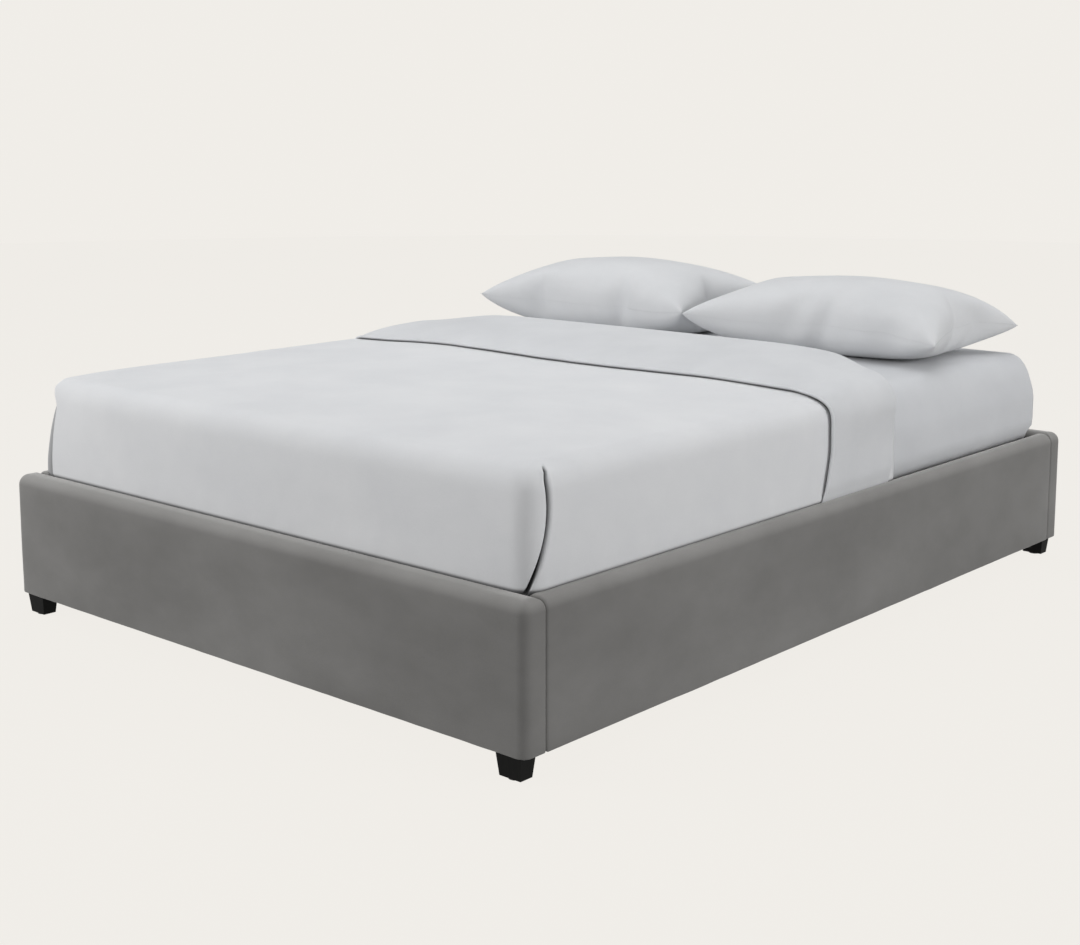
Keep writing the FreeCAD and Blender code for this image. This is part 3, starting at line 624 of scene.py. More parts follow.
def end_panel(name, outward):
    """The padded cover of the foot (outward -1) or head (outward 1) panel, with its round corners."""
    low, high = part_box(f"{name}_cover")
    rings = []
    for level in panel_levels(low.z, high.z):
        base = rounding(level - low.z, BOTTOM_EDGE)
        outer = rounding(high.z - level, TOP_OUTER) + base
        inner = rounding(high.z - level, TOP_INNER) + base
        front, back = (outer, inner) if outward < 0 else (inner, outer)
        round_out = max(PANEL_CORNER - outer, MM)
        round_in = max(INNER_CORNER - inner, MM)
        radii = (round_out, round_out, round_in, round_in)
        if outward > 0:
            radii = (round_in, round_in, round_out, round_out)
        ring_low = (low.x + outer, low.y + front)
        ring_high = (high.x - outer, high.y - back)
        rings.append(plan_ring(ring_low, ring_high, radii, level, PANEL_COLUMNS))
    count = len(rings[0])
    faces = loft(len(rings), count, True)
    faces += lid(0, count, False)
    faces += lid((len(rings) - 1) * count, count, True)
    cover = as_piece(f"{name}_upholstery", [p for ring in rings for p in ring], faces, UPHOLSTERY)

    def give(points, normals):
        outer_side = ease(0.2, 0.9, normals[:, 1] * outward)
        above = ease(low.z, low.z + 40 * MM, points[:, 2])
        body = FOAM_GIVE * lumps(points * (1, 1, 1.4), 0.24, 3 + outward)
        pulls = CLOTH_PULL * lumps(points * (1, 1, 0.25), 0.05, 9 + outward)
        near_base = 1 - ease(low.z + 5 * MM, low.z + 60 * MM, points[:, 2])
        return outer_side * (body * above + pulls * near_base)

    swell(cover, give)
    return mounted(cover, FRAME_BODY, "upholstery", f"{name}_cover", f"{name}_foam")


def rail_section(thick, board, low, high, fold_level):
    """A side rail's padded section: (distance in from the outer face, height) and the way out of its skin.

    board is the pair of distances between which the rail's board stands.
    """
    skin = [((board[1], low), (0, -1)), ((BOTTOM_EDGE * 2, low), (0, -1))]
    for k in range(5):
        turn = math.pi / 2 * k / 4
        way = (-math.sin(turn), -math.cos(turn))
        centre = (BOTTOM_EDGE, low + BOTTOM_EDGE)
        skin.append(((centre[0] + BOTTOM_EDGE * way[0], centre[1] + BOTTOM_EDGE * way[1]), way))
    for level in spaced(low + BOTTOM_EDGE, high - TOP_OUTER, PANEL_STEP)[1:-1]:
        skin.append(((0, level), (-1, 0)))
    for k in range(10):
        turn = math.pi / 2 * k / 9
        way = (-math.cos(turn), math.sin(turn))
        skin.append(((TOP_OUTER + TOP_OUTER * way[0], high - TOP_OUTER + TOP_OUTER * way[1]), way))
    for k in range(10):
        turn = math.pi / 2 * k / 9
        way = (math.sin(turn), math.cos(turn))
        centre = (thick - TOP_INNER, high - TOP_INNER)
        skin.append(((centre[0] + TOP_INNER * way[0], centre[1] + TOP_INNER * way[1]), way))
    skin.append(((thick, fold_level), (1, 0)))
    board_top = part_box("right_rail_board")[1].z + 0.3 * MM
    board_base = low + 1.5 * MM
    hidden = [(board[1], fold_level), (board[1], board_top), (board[0], board_top)]
    hidden += [(board[0], board_base), (board[1], board_base)]
    places = [place for place, way in skin] + hidden
    ways = [way for place, way in skin] + [(0, 0)] * len(hidden)
    return np.array(places), np.array(ways, float)


def side_rail(name, way):
    """The padded cover of the left (way -1) or right (way 1) rail, wrapped over its board."""
    low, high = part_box(f"{name}_cover")
    board_low, board_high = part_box(f"{name}_board")
    outer = max(abs(low.x), abs(high.x))
    thick = outer - min(abs(low.x), abs(high.x))
    board = sorted(outer - abs(x) for x in (board_low.x, board_high.x))
    fold_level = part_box("slat_01")[0].z + MM
    places, ways = rail_section(thick, board, low.z, high.z, fold_level)
    ends = [RAIL_END * (1 - math.cos(math.pi / 2 * k / 5)) for k in range(6)]
    stations = [low.y + d for d in ends[:-1]]
    stations += spaced(low.y + RAIL_END, high.y - RAIL_END, PANEL_STEP)
    stations += [high.y - d for d in reversed(ends[:-1])]
    points = []
    for y in stations:
        back = rounding(min(y - low.y, high.y - y), RAIL_END)
        across = places - ways * back
        points += [(way * (outer - t), y, z) for t, z in across]
    count = len(places)
    faces = loft(len(stations), count, True)
    faces += [tuple(range(count))[::-1], tuple(range(len(points) - count, len(points)))]
    if way > 0:
        faces = [tuple(reversed(face)) for face in faces]
    cover = as_piece(f"{name}_upholstery", points, faces, UPHOLSTERY)

    def give(points, normals):
        outer_side = ease(0.2, 0.9, normals[:, 0] * way)
        between = ease(low.y + 5 * MM, low.y + 60 * MM, points[:, 1])
        between *= ease(5 * MM, 60 * MM, high.y - points[:, 1])
        body = FOAM_GIVE * lumps(points * (1, 1, 1.4), 0.26, 5 + way)
        pulls = CLOTH_PULL * lumps(points * (1, 1, 0.25), 0.05, 12 + way)
        near_base = 1 - ease(low.z + 5 * MM, low.z + 60 * MM, points[:, 2])
        return outer_side * between * (body + pulls * near_base)

    swell(cover, give)
    return mounted(cover, FRAME_BODY, "upholstery", f"{name}_cover", f"{name}_foam")


def staple_lines():
    """Staples that hold the covers: under the rails' boards and along the end panels' undersides."""
    paths = []
    for name, way in (("left_rail", -1), ("right_rail", 1)):
        low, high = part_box(f"{name}_board")
        inner = way * min(abs(low.x), abs(high.x))
        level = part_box("left_ledger")[1].z + 8 * MM
        paths.append([(inner - way * 0.4 * MM, y, level) for y in (-RAIL_ROW_END, RAIL_ROW_END)])
    for name in ("foot_panel", "head_panel"):
        low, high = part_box(f"{name}_cover")
        middle = (low.y + high.y) / 2
        inner = 12 * MM if middle < 0 else -12 * MM
        paths.append([(x, middle + inner, low.z - 0.15 * MM) for x in (-PANEL_ROW_END, PANEL_ROW_END)])
    staples = along_paths("upholstery_staples", paths, STAPLES, BOLT_STEEL, STAPLE_SPACING, STAPLE_SIZE)
    return mounted(staples, FRAME_BODY, "fastener_steel")


# ---------------------------------------------------------------- mattress and fitted sheet

MATTRESS_CORNER = 45 * MM
MATTRESS_EDGE = 58 * MM
MATTRESS_BASE_EDGE = 22 * MM
MATTRESS_GIRTH = 20 * MM
TUFT_SPACING = 0.19
TUFT_DEPTH = 1.5 * MM
SHEET_THICK = 1.2 * MM
# the tape bound round the mattress's base: its radius and the number of its sides
TAPE_RADIUS = 4.5 * MM
TAPE_SIDES = 8

duvet_low, duvet_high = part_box("duvet")
rail_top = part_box("right_rail_cover")[1].z
rail_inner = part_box("right_rail_cover")[0].x
foot_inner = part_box("foot_panel_cover")[1].y


def soft_block(name, low, high, corner, edge, finish, base_edge=None):
    """A block with rounded corners and a top that is rounded over, in level rings drawn in to its middle."""
    levels = []
    middle = min(high.x - low.x, high.y - low.y) / 2 - 2 * MM
    start = low.z
    if base_edge:
        levels += [(inset, low.z) for inset in reversed(spaced(base_edge, middle, 30 * MM))]
        for left in quarter(base_edge, 6):
            levels.append((rounding(base_edge - left, base_edge), low.z + base_edge - left))
        start += base_edge
    levels += [(0.0, z) for z in spaced(start, high.z - edge, 20 * MM)[bool(base_edge):-1]]
    levels += [(rounding(left, edge), high.z - left) for left in quarter(edge, 8)]
    levels += [(inset, high.z) for inset in spaced(edge, (high.x - low.x) / 2 - 2 * MM, 24 * MM)[1:]]
    rings = []
    for inset, z in levels:
        radius = max(corner - inset, MM)
        ring_low = (low.x + inset, low.y + inset)
        ring_high = (high.x - inset, high.y - inset)
        turned_low = (ring_low[1], -ring_high[0])
        turned_high = (ring_high[1], -ring_low[0])
        ring = plan_ring(turned_low, turned_high, (radius,) * 4, z, 100, 8)
        rings.append([(-y, x, level) for x, y, level in ring])
    count = len(rings[0])
    faces = loft(len(rings), count, True)
    faces += lid((len(rings) - 1) * count, count, True)
    if base_edge:
        faces += lid(0, count, False)
    return as_piece(name, [p for ring in rings for p in ring], faces, finish)


def girth(points, normals):
    """How far the mattress swells out over the rails, where no duvet holds it in."""
    above = ease(rail_top - 8 * MM, rail_top + 34 * MM, points[:, 2])
    above *= 1 - ease(rail_top + 0.10, rail_top + 0.20, points[:, 2])
    open_end = ease(duvet_high.y - 60 * MM, duvet_high.y - 15 * MM, points[:, 1])
    return MATTRESS_GIRTH * above * open_end * (1 - np.abs(normals[:, 2]))


def mattress():
    """The mattress in its ticking, tufted a little."""
    low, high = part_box("mattress_ticking")
    block = soft_block("mattress_in_ticking", low, high,
                       MATTRESS_CORNER, MATTRESS_EDGE, TICKING, MATTRESS_BASE_EDGE)

    def quilt(points, normals):
        flat = ease(0.8, 1.0, np.abs(normals[:, 2]))
        tufts = np.cos(points[:, 0] * math.pi / TUFT_SPACING) * np.cos(points[:, 1] * math.pi / TUFT_SPACING)
        return girth(points, normals) - TUFT_DEPTH * flat * tufts ** 2

    swell(block, quilt)
    return mounted(block, MATTRESS_BODY, "ticking",
                   "mattress_ticking", "mattress_base_foam", "mattress_comfort_foam")


def edge_tape():
    """The bound edge round the bottom of the mattress."""
    low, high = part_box("mattress_ticking")
    inset = 1.5 * MM
    ring = plan_ring((low.x + inset, low.y + inset), (high.x - inset, high.y - inset),
                     (MATTRESS_CORNER - inset,) * 4, low.z + 24 * MM, 60, 8)
    count = len(ring)
    points, faces = [], []
    for i, here in enumerate(ring):
        ahead = Vector(ring[(i + 1) % count]) - Vector(ring[i - 1])
        out = ahead.cross(Vector((0, 0, 1))).normalized()
        for k in range(TAPE_SIDES):
            turn = 2 * math.pi * k / TAPE_SIDES
            lift = Vector((0, 0, 1.4 * TAPE_RADIUS * math.sin(turn)))
            points.append(Vector(here) + out * 0.32 * TAPE_RADIUS * math.cos(turn) + lift)
    for i in range(count):
        j = (i + 1) % count
        for k in range(TAPE_SIDES):
            m = (k + 1) % TAPE_SIDES
            here, there = i * TAPE_SIDES, j * TAPE_SIDES
            faces.append([here + k, there + k, there + m, here + m])
    tape = as_piece("mattress_edge_tape", points, faces, WEBBING)
    return mounted(tape, MATTRESS_BODY, "ticking")


def fitted_sheet():
    """The fitted sheet, drawn over the mattress and gathered below by its elastic."""
    low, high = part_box("fitted_sheet")
    sheet = soft_block("fitted_sheet_cloth", low, high,
                       MATTRESS_CORNER + SHEET_THICK, MATTRESS_EDGE, SHEET_COTTON)

    def pulls(points, normals):
        side = 1 - ease(0.3, 0.9, normals[:, 2])
        below = 1 - ease(low.z, low.z + 90 * MM, points[:, 2])
        gathers = lumps(points * (1, 1, 0.2), 0.028, 21) * side * below
        drawn = lumps(points * (1, 1, 0.35), 0.09, 22) * side
        corner = np.minimum(high.x - np.abs(points[:, 0]), high.y - points[:, 1])
        rays = lumps(points * (2.0, 2.0, 1.0), 0.16, 23) * (1 - side) * (1 - ease(0.1, 0.5, corner))
        return girth(points, normals) + 0.8 * MM * gathers + 0.8 * MM * (drawn + rays)

    swell(sheet, pulls)
    wall = sheet.modifiers.new("cloth", "SOLIDIFY")
    wall.thickness = SHEET_THICK
    wall.offset = -1.0
    sheet = frozen(sheet)
    return mounted(sheet, MATTRESS_BODY, "sheet_cotton", "fitted_sheet")


# ---------------------------------------------------------------- duvet

# roundings: of the corners in plan, of the top's edge, and of that edge where the far corner is crisper
DUVET_CORNER = 45 * MM
DUVET_EDGE = 54 * MM
CRISP_EDGE = 22 * MM
# thickness of the filling, its least thickness in tucks and folds, and how far the top's middle stands up
LOFT = 18 * MM
LEAST_LOFT = 3.4 * MM
CROWN = 11 * MM
CROWN_REACH = 0.34
# corner folds: how far one reaches each way, its mouth, its lip, and the knob where it ends above
FOLD_REACH = 0.11
FOLD_MOUTH = 16 * MM
FOLD_LIP = 1.8 * MM
EAR = 9 * MM
# how far the left foot corner leans in at the top, along the foot and along the side, and how wide it does
LEFT_LEAN = (36 * MM, 14 * MM)
LEAN_REACH = 120 * MM
# how far short of the duvet's head end its walls and top stop, and how wide the cloth's columns are
HEAD_SHORT = 26 * MM
COLUMN_STEP = 17 * MM
# how far the duvet is drawn in below the rails' tops, and where its flat top starts
TUCK_X = duvet_high.x - rail_inner + 1.9 * MM
TUCK_Y = foot_inner + 2.5 * MM - duvet_low.y
EDGE_TOP = duvet_high.z - CROWN


def tucked(level):
    """How far the duvet is drawn in below the rails' tops, as a share of the whole way in."""
    return 1 - ease(rail_top - 26 * MM, rail_top + 8 * MM, level)


def bulge(level, start):
    """The wall's soft fullness between the rail and the top edge."""
    share = (level - rail_top) / (start - rail_top)
    belly = 3 * MM * math.sin(math.pi * min(max(share, 0.0), 1.0))
    return belly + 3 * MM * (1 - float(ease(0.0, 0.5, share)))


def wall_rows():
    """The duvet's walls from the tuck up: (share drawn in, inset from the wall, height)."""
    start = EDGE_TOP - DUVET_EDGE
    heights = spaced(duvet_low.z, rail_top + 12 * MM, 3.6 * MM)
    heights += spaced(rail_top + 12 * MM, start, 11 * MM)[1:-1]
    rows = [(float(tucked(z)), -bulge(z, start), z) for z in heights]
    rows += [(0.0, rounding(left, DUVET_EDGE), EDGE_TOP - left) for left in quarter(DUVET_EDGE, 12)]
    return rows


def u_path(distance, half, foot, corner, head):
    """Places and outward ways at distances along a U: from the head down the left side, round and up again.

    The last three results are the distances of its left corner's and right corner's middles and its length.
    """
    side = head - foot - corner
    arc = corner * math.pi / 2
    front = 2 * (half - corner)
    d = np.asarray(distance, float)
    turn_left = np.clip((d - side) / arc, 0, 1) * math.pi / 2
    turn_right = np.clip((d - side - arc - front) / arc, 0, 1) * math.pi / 2
    turn = math.pi + turn_left + turn_right
    out = np.stack([np.cos(turn), np.sin(turn)], axis=1)
    on_left = d < side + arc + front / 2
    centre_x = np.where(on_left, -half + corner, half - corner)
    x = centre_x + corner * out[:, 0]
    y = foot + corner + corner * out[:, 1]
    y = np.where(d < side, head - d, y)
    along_front = d - side - arc
    on_front = (along_front > 0) & (along_front < front)
    x = np.where(on_front, -half + corner + along_front, x)
    past = d - side - 2 * arc - front
    y = np.where(past > 0, foot + corner + past, y)
    left_corner = side + arc / 2
    right_corner = side + arc * 1.5 + front
    return np.stack([x, y], axis=1), out, left_corner, right_corner, 2 * (side + arc) + front


def fold_section(dip, spread, groove):
    """A corner fold across its crease: distances along the wall, flat and once folded, and heights.

    The wall dips over a spread towards the crease, drops into a narrow groove and comes back over a lip.
    """
    reach = np.linspace(1, 0, 15) ** 1.6
    run = (FOLD_REACH - FOLD_MOUTH) * reach
    approach = [(-FOLD_MOUTH - d, -dip * math.exp(-(d / spread) ** 2)) for d in run]
    cut = [(-14.0, 0.12), (-12.4, 0.45), (-10.8, 0.85), (-8.0, 1.0), (-5.0, 0.85), (-4.2, 0.4)]
    inside = [(along * MM, -dip - groove * share) for along, share in cut]
    back = [(-4.4 * MM, -0.5 * dip), (-4.0 * MM, -0.1 * dip), (-2.0 * MM, 0.8 * FOLD_LIP)]
    fall = [(FOLD_REACH * r, FOLD_LIP * math.exp(-r * FOLD_REACH / (34 * MM))) for r in reach[::-1]]
    section = np.array(approach + inside + back + fall)
    flat = section[:, 0].copy()
    first, count = len(approach), len(inside) + len(back)
    flat[first:first + count] = np.linspace(-FOLD_MOUTH, 0, count + 2)[1:-1]
    fade = 1 - ease(0.6, 1.0, np.abs(flat) / FOLD_REACH)
    return flat, section[:, 0], section[:, 1] * fade


# for each side: how a fold is cut across, and the share of its depth at the rail and what it gains by the top
FOLDS = {
    "left": fold_section(15 * MM, 88 * MM, 8 * MM),
    "right": fold_section(2.0 * MM, 40 * MM, 24 * MM),
}
FOLD_DEPTHS = {"left": (0.25, 0.75), "right": (1.0, 0.0)}


def fold_shade(side, along, height):
    """How much painted shade the cloth takes in a fold: all over the left one's far face, but only in the
    right one's groove.
    """
    if side == "left":
        return np.where(along < -2 * MM, 0.6 * np.exp(-(along / (80 * MM)) ** 2), 0.0)
    return np.clip(-height / (9 * MM) - 0.25, 0.0, 1.0)


def crease_shift(side, share):
    """How far the crease wanders from the corner as it rises, share 0 at the rail and 1 at the top."""
    share = min(max(share, 0.0), 1.05)
    if side == "right":
        return 4 * MM + 48 * MM * math.sin(0.75 * math.pi * share)
    return 53 * MM - 43 * MM * float(ease(0.70, 0.98, share))


def crown(x, y):
    """How far the duvet's top stands above its edges."""
    from_side = duvet_high.x - DUVET_EDGE - np.abs(x)
    from_foot = y - duvet_low.y - DUVET_EDGE
    return CROWN * ease(0.0, CROWN_REACH, from_side) * ease(0.0, CROWN_REACH, from_foot)


def corner_fold(side, middle, share, strength, ear):
    """One corner's fold at one level, as values for each of its columns.

    middle is the corner's distance along the wall, share how far up the wall the level is, strength how far
    the cloth is folded there, and ear how far the knob at the fold's end stands out.
    """
    flat, folded, height = FOLDS[side]
    crease = middle + crease_shift(side, share)
    knob = ear * np.exp(-((flat + 11 * MM) / (7 * MM)) ** 2) if side == "right" else 0.0
    least, more = FOLD_DEPTHS[side]
    return {
        "crease": crease,
        "along": crease + flat + (folded - flat) * strength,
        "rise": height * strength * (least + more * min(max(share, 0.0), 1.0)) + knob,
        "hold": max(strength, ear / EAR) * np.exp(-(flat / (30 * MM)) ** 2),
        "shade": strength * fold_shade(side, flat, height),
        "slim": np.exp(-(flat / (34 * MM)) ** 2),
    }


def wall_level(tuck, inset, z, head, side_count, front_count):
    """One level of the duvet's walls: its points, and how much painted shade, how thick and how soft the
    cloth is at each.
    """
    half, foot = duvet_high.x, duvet_low.y
    share = (z - rail_top) / (EDGE_TOP - rail_top)
    corner = DUVET_CORNER - 0.5 * max(inset, 0.0)
    outline = (half - inset - tuck * TUCK_X, foot + inset + tuck * TUCK_Y, corner, head)
    left_corner, right_corner, whole = u_path([0], *outline)[2:]
    below_edge = 1 - ease(EDGE_TOP - 18 * MM, EDGE_TOP - 5 * MM, z)
    strength = float(ease(rail_top - 30 * MM, rail_top + 4 * MM, z) * below_edge)
    ear = EAR * math.exp(-((z - EDGE_TOP + 16 * MM) / (8 * MM)) ** 2)
    left = corner_fold("left", left_corner, share, strength, ear)
    right = corner_fold("right", right_corner, share, strength, ear)
    plain_side, plain_front = np.zeros(side_count), np.zeros(front_count - 2)

    def along_wall(what):
        return np.concatenate([plain_side, left[what], plain_front, right[what], plain_side])

    along = np.concatenate([
        np.linspace(0, left["crease"] - FOLD_REACH, side_count, endpoint=False),
        left["along"],
        np.linspace(left["crease"] + FOLD_REACH, right["crease"] - FOLD_REACH, front_count)[1:-1],
        right["along"],
        np.linspace(whole, right["crease"] + FOLD_REACH, side_count, endpoint=False)[::-1],
    ])
    plan, out = u_path(along, *outline)[:2]
    plan = plan + out * along_wall("rise")[:, None]
    from_corner = np.hypot(plan[:, 0] + half, plan[:, 1] - foot)
    near_corner = np.exp(-(from_corner / LEAN_REACH) ** 2)
    plan += near_corner[:, None] * np.array(LEFT_LEAN) * max(share, 0.0) ** 2
    # the left end of the foot edge and of the left edge turn over more sharply
    crisp = max(inset, 0.0) - rounding(EDGE_TOP - z, CRISP_EDGE)
    plan[:, 1] -= crisp * ease(0.66, 0.77, -plan[:, 0]) * (1 - ease(foot + 0.08, foot + 0.16, plan[:, 1]))
    plan[:, 0] -= crisp * ease(0.50, 0.68, -plan[:, 0])
    # painted shade: a band where the duvet meets the rail's top is darkened, on top of the painted shade in
    # the folds
    above_tuck = ease(rail_top - 16 * MM, rail_top - 7 * MM, z)
    meets_rail = float(above_tuck * (1 - ease(rail_top, rail_top + 7 * MM, z)))
    painted_shade = np.maximum(along_wall("shade"), 0.8 * meets_rail)
    thick = float(ease(rail_top - 8 * MM, rail_top + 24 * MM, z)) * (1 - along_wall("slim"))
    soft = (1 - along_wall("hold")) * float(ease(EDGE_TOP - 85 * MM, EDGE_TOP - 45 * MM, z))
    return [(x, y, z) for x, y in plan], list(painted_shade), list(thick), list(soft)


def flat_top(edge, reach, head):
    """Rows of points stretched evenly between the walls' top edge and a straight edge at the head.

    reach is the number of columns from the head to where the front of the top begins, on each side.
    """
    left_side = edge[:reach + 1][::-1]
    right_side = edge[len(edge) - reach - 1:]
    front = edge[reach:len(edge) - reach]
    back = np.stack([np.linspace(left_side[-1, 0], right_side[-1, 0], len(front)),
                     np.full(len(front), head), np.full(len(front), EDGE_TOP)], axis=1)
    s = np.linspace(0, 1, len(front))[None, :, None]
    t = np.linspace(0, 1, reach + 1)[:, None, None]
    return ((1 - t) * front[None] + t * back[None] + (1 - s) * left_side[:, None] + s * right_side[:, None]
            - (1 - s) * (1 - t) * front[0] - s * (1 - t) * front[-1]
            - (1 - s) * t * back[0] - s * t * back[-1])


def duvet():
    """The duvet: walls tucked in at three sides, folded corners, and a crowned top."""
    head = duvet_high.y - HEAD_SHORT
    side_count = round((head - duvet_low.y) / COLUMN_STEP)
    front_count = round(2 * duvet_high.x / COLUMN_STEP)
    points, painted_shade, thick, soft = [], [], [], []
    levels = wall_rows()
    for tuck, inset, z in levels:
        level = wall_level(tuck, inset, z, head, side_count, front_count)
        for values, part in zip((points, painted_shade, thick, soft), level):
            values.extend(part)
    rows = len(levels)
    columns = len(points) // rows
    faces = loft(rows, columns, False)

    reach = side_count + len(FOLDS["left"][0]) // 2
    last = (rows - 1) * columns
    top = flat_top(np.array(points[last:]), reach, head)
    width = top.shape[1]
    number = np.empty((reach + 1, width), int)
    for i in range(reach + 1):
        for j in range(width):
            if i == 0:
                number[i, j] = last + reach + j
            elif j == 0:
                number[i, j] = last + reach - i
            elif j == width - 1:
                number[i, j] = last + columns - reach - 1 + i
            else:
                number[i, j] = len(points)
                x, y, z = top[i, j]
                points.append((x, y, z + float(crown(x, y))))
                painted_shade.append(0.0)
                thick.append(1.0)
                soft.append(1.0)
    for i in range(reach):
        for j in range(width - 1):
            faces.append((number[i, j], number[i, j + 1], number[i + 1, j + 1], number[i + 1, j]))
    piece = as_piece("duvet_tucked_in", points, faces, DUVET_COTTON)
    piece = softened(piece, soft, 14)

    def fullness(points, normals):
        above = ease(rail_top + 6 * MM, rail_top + 70 * MM, points[:, 2])
        clear = 1 - ease(-0.42, -0.26, points[:, 1])
        broad = 3.0 * MM * lumps(points, 0.34, 31) * clear
        folds = 1.3 * MM * lumps(points * (1.0, 1.0, 0.45), 0.12, 32)
        gathers = 1.2 * MM * lumps(points * (1.0, 1.0, 0.15), 0.03, 33)
        low_wall = ease(rail_top + 2 * MM, rail_top + 14 * MM, points[:, 2])
        low_wall *= 1 - ease(rail_top + 20 * MM, rail_top + 80 * MM, points[:, 2])
        return above * (broad + folds * clear) + gathers * low_wall

    swell(piece, fullness)
    paint_shade(piece, painted_shade)
    weighted(piece, "loft", thick)
    filling = piece.modifiers.new("filling", "SOLIDIFY")
    filling.thickness = LOFT
    filling.offset = -1.0
    filling.vertex_group = "loft"
    filling.thickness_vertex_group = LEAST_LOFT / LOFT
    piece = frozen(piece)
    return mounted(piece, MATTRESS_BODY, "duvet_cotton", "duvet")


# ---------------------------------------------------------------- the turned-down part of the duvet

BAND_LOFT = 48 * MM
BAND_STEP = 14 * MM
# length along the bed over which the band rises from its hem to its loft
BAND_RISE = 90 * MM
# the band's nose: how far past the duvet's end it lies at mid width, and how much less at the sides
NOSE_REACH = 64 * MM
NOSE_BACK = 100 * MM
# its hem: thickness, width to the stitches, place along the bed, wave, and how far it swings on the sides
HEM_THICK = 11 * MM
HEM_FLANGE = 12 * MM
HEM_MIDDLE = -0.074
HEM_WAVE = 0.016
HEM_DIP = 0.03
HEM_SWING = 0.05
HEM_RETURN = 0.025
HEM_STITCH = (3.0 * MM, 0.7 * MM, 0.7 * MM)
HEM_STITCH_STEP = 4.2 * MM


def arch():
    """The duvet's outline across the bed, from the left tuck over the top to the right, and its ways out."""
    walls = [row for row in wall_rows() if row[2] > rail_top - 16 * MM]
    left = [(-(duvet_high.x - inset - tuck * TUCK_X), z) for tuck, inset, z in walls]
    start, end = left[-1][0], -left[-1][0]
    over = [(x, EDGE_TOP + float(crown(x, duvet_high.y))) for x in spaced(start, end, BAND_STEP)[1:-1]]
    line = np.array(left + over + [(-x, z) for x, z in reversed(left)])
    ahead = np.gradient(line, axis=0)
    ahead /= np.linalg.norm(ahead, axis=1)[:, None]
    out = np.stack([-ahead[:, 1], ahead[:, 0]], axis=1)
    out[0], out[-1] = (-1, 0), (1, 0)
    return line, out


def dropped(levels):
    """How far down the side a height is: 0 at the top's edge, 1 at the rail."""
    return np.clip((EDGE_TOP - levels) / (EDGE_TOP - rail_top), 0, 1)


def hem_place(line):
    """Where the hem lies along the bed for each place across it: wavy on top, swung back down the sides."""
    across = line[:, 0] / duvet_high.x
    top = HEM_MIDDLE + HEM_WAVE * np.cos(4.9 * (across + 0.56)) - HEM_DIP * ease(0.85, 0.97, across)
    top += 3 * MM * lumps(np.column_stack([line, 0 * line[:, 0]]), 0.07, 44)
    swing = ease(-42 * MM, 28 * MM, EDGE_TOP - line[:, 1])
    return top + HEM_SWING * swing - HEM_RETURN * ease(0.45, 1.0, dropped(line[:, 1]))


def band_profile(hem, fold, thick):
    """The band's section along the bed, as (place, height) round it: hem, fullness, nose and underside."""
    under = -5 * MM
    places = [(hem + 10 * MM, under), (hem + 9 * MM, 0.0)]
    hem_round = ((5, 0.25), (1.2, 0.5), (0, 0.72), (1.5, 0.92), (5, 1.0), (9, 0.97))
    places += [(hem + back * MM, share * HEM_THICK) for back, share in hem_round]
    places.append((hem + HEM_FLANGE, 0.75 * HEM_THICK))
    below = -LOFT - MM
    middle, tall = (thick + below) / 2, (thick - below) / 2
    nose = 0.95 * tall
    length = fold - nose - hem - HEM_FLANGE
    start = 0.85 * HEM_THICK
    full = 1 - math.exp(-length / BAND_RISE)
    for k in range(1, 19):
        along = length * (k / 18) ** 1.5
        rise = (1 - math.exp(-along / BAND_RISE)) / full
        places.append((hem + HEM_FLANGE + along, start + (thick - start) * rise))
    for k in range(1, 12):
        turn = math.pi / 2 - math.pi * k / 11
        places.append((fold - nose + nose * math.cos(turn), middle + tall * math.sin(turn)))
    places += [(fold - nose - 0.5 * MM, below), (fold - nose - 1.0 * MM, under)]
    for share in (0.8, 0.6, 0.4, 0.2):
        places.append((hem + share * (fold - nose - hem), under))
    return places


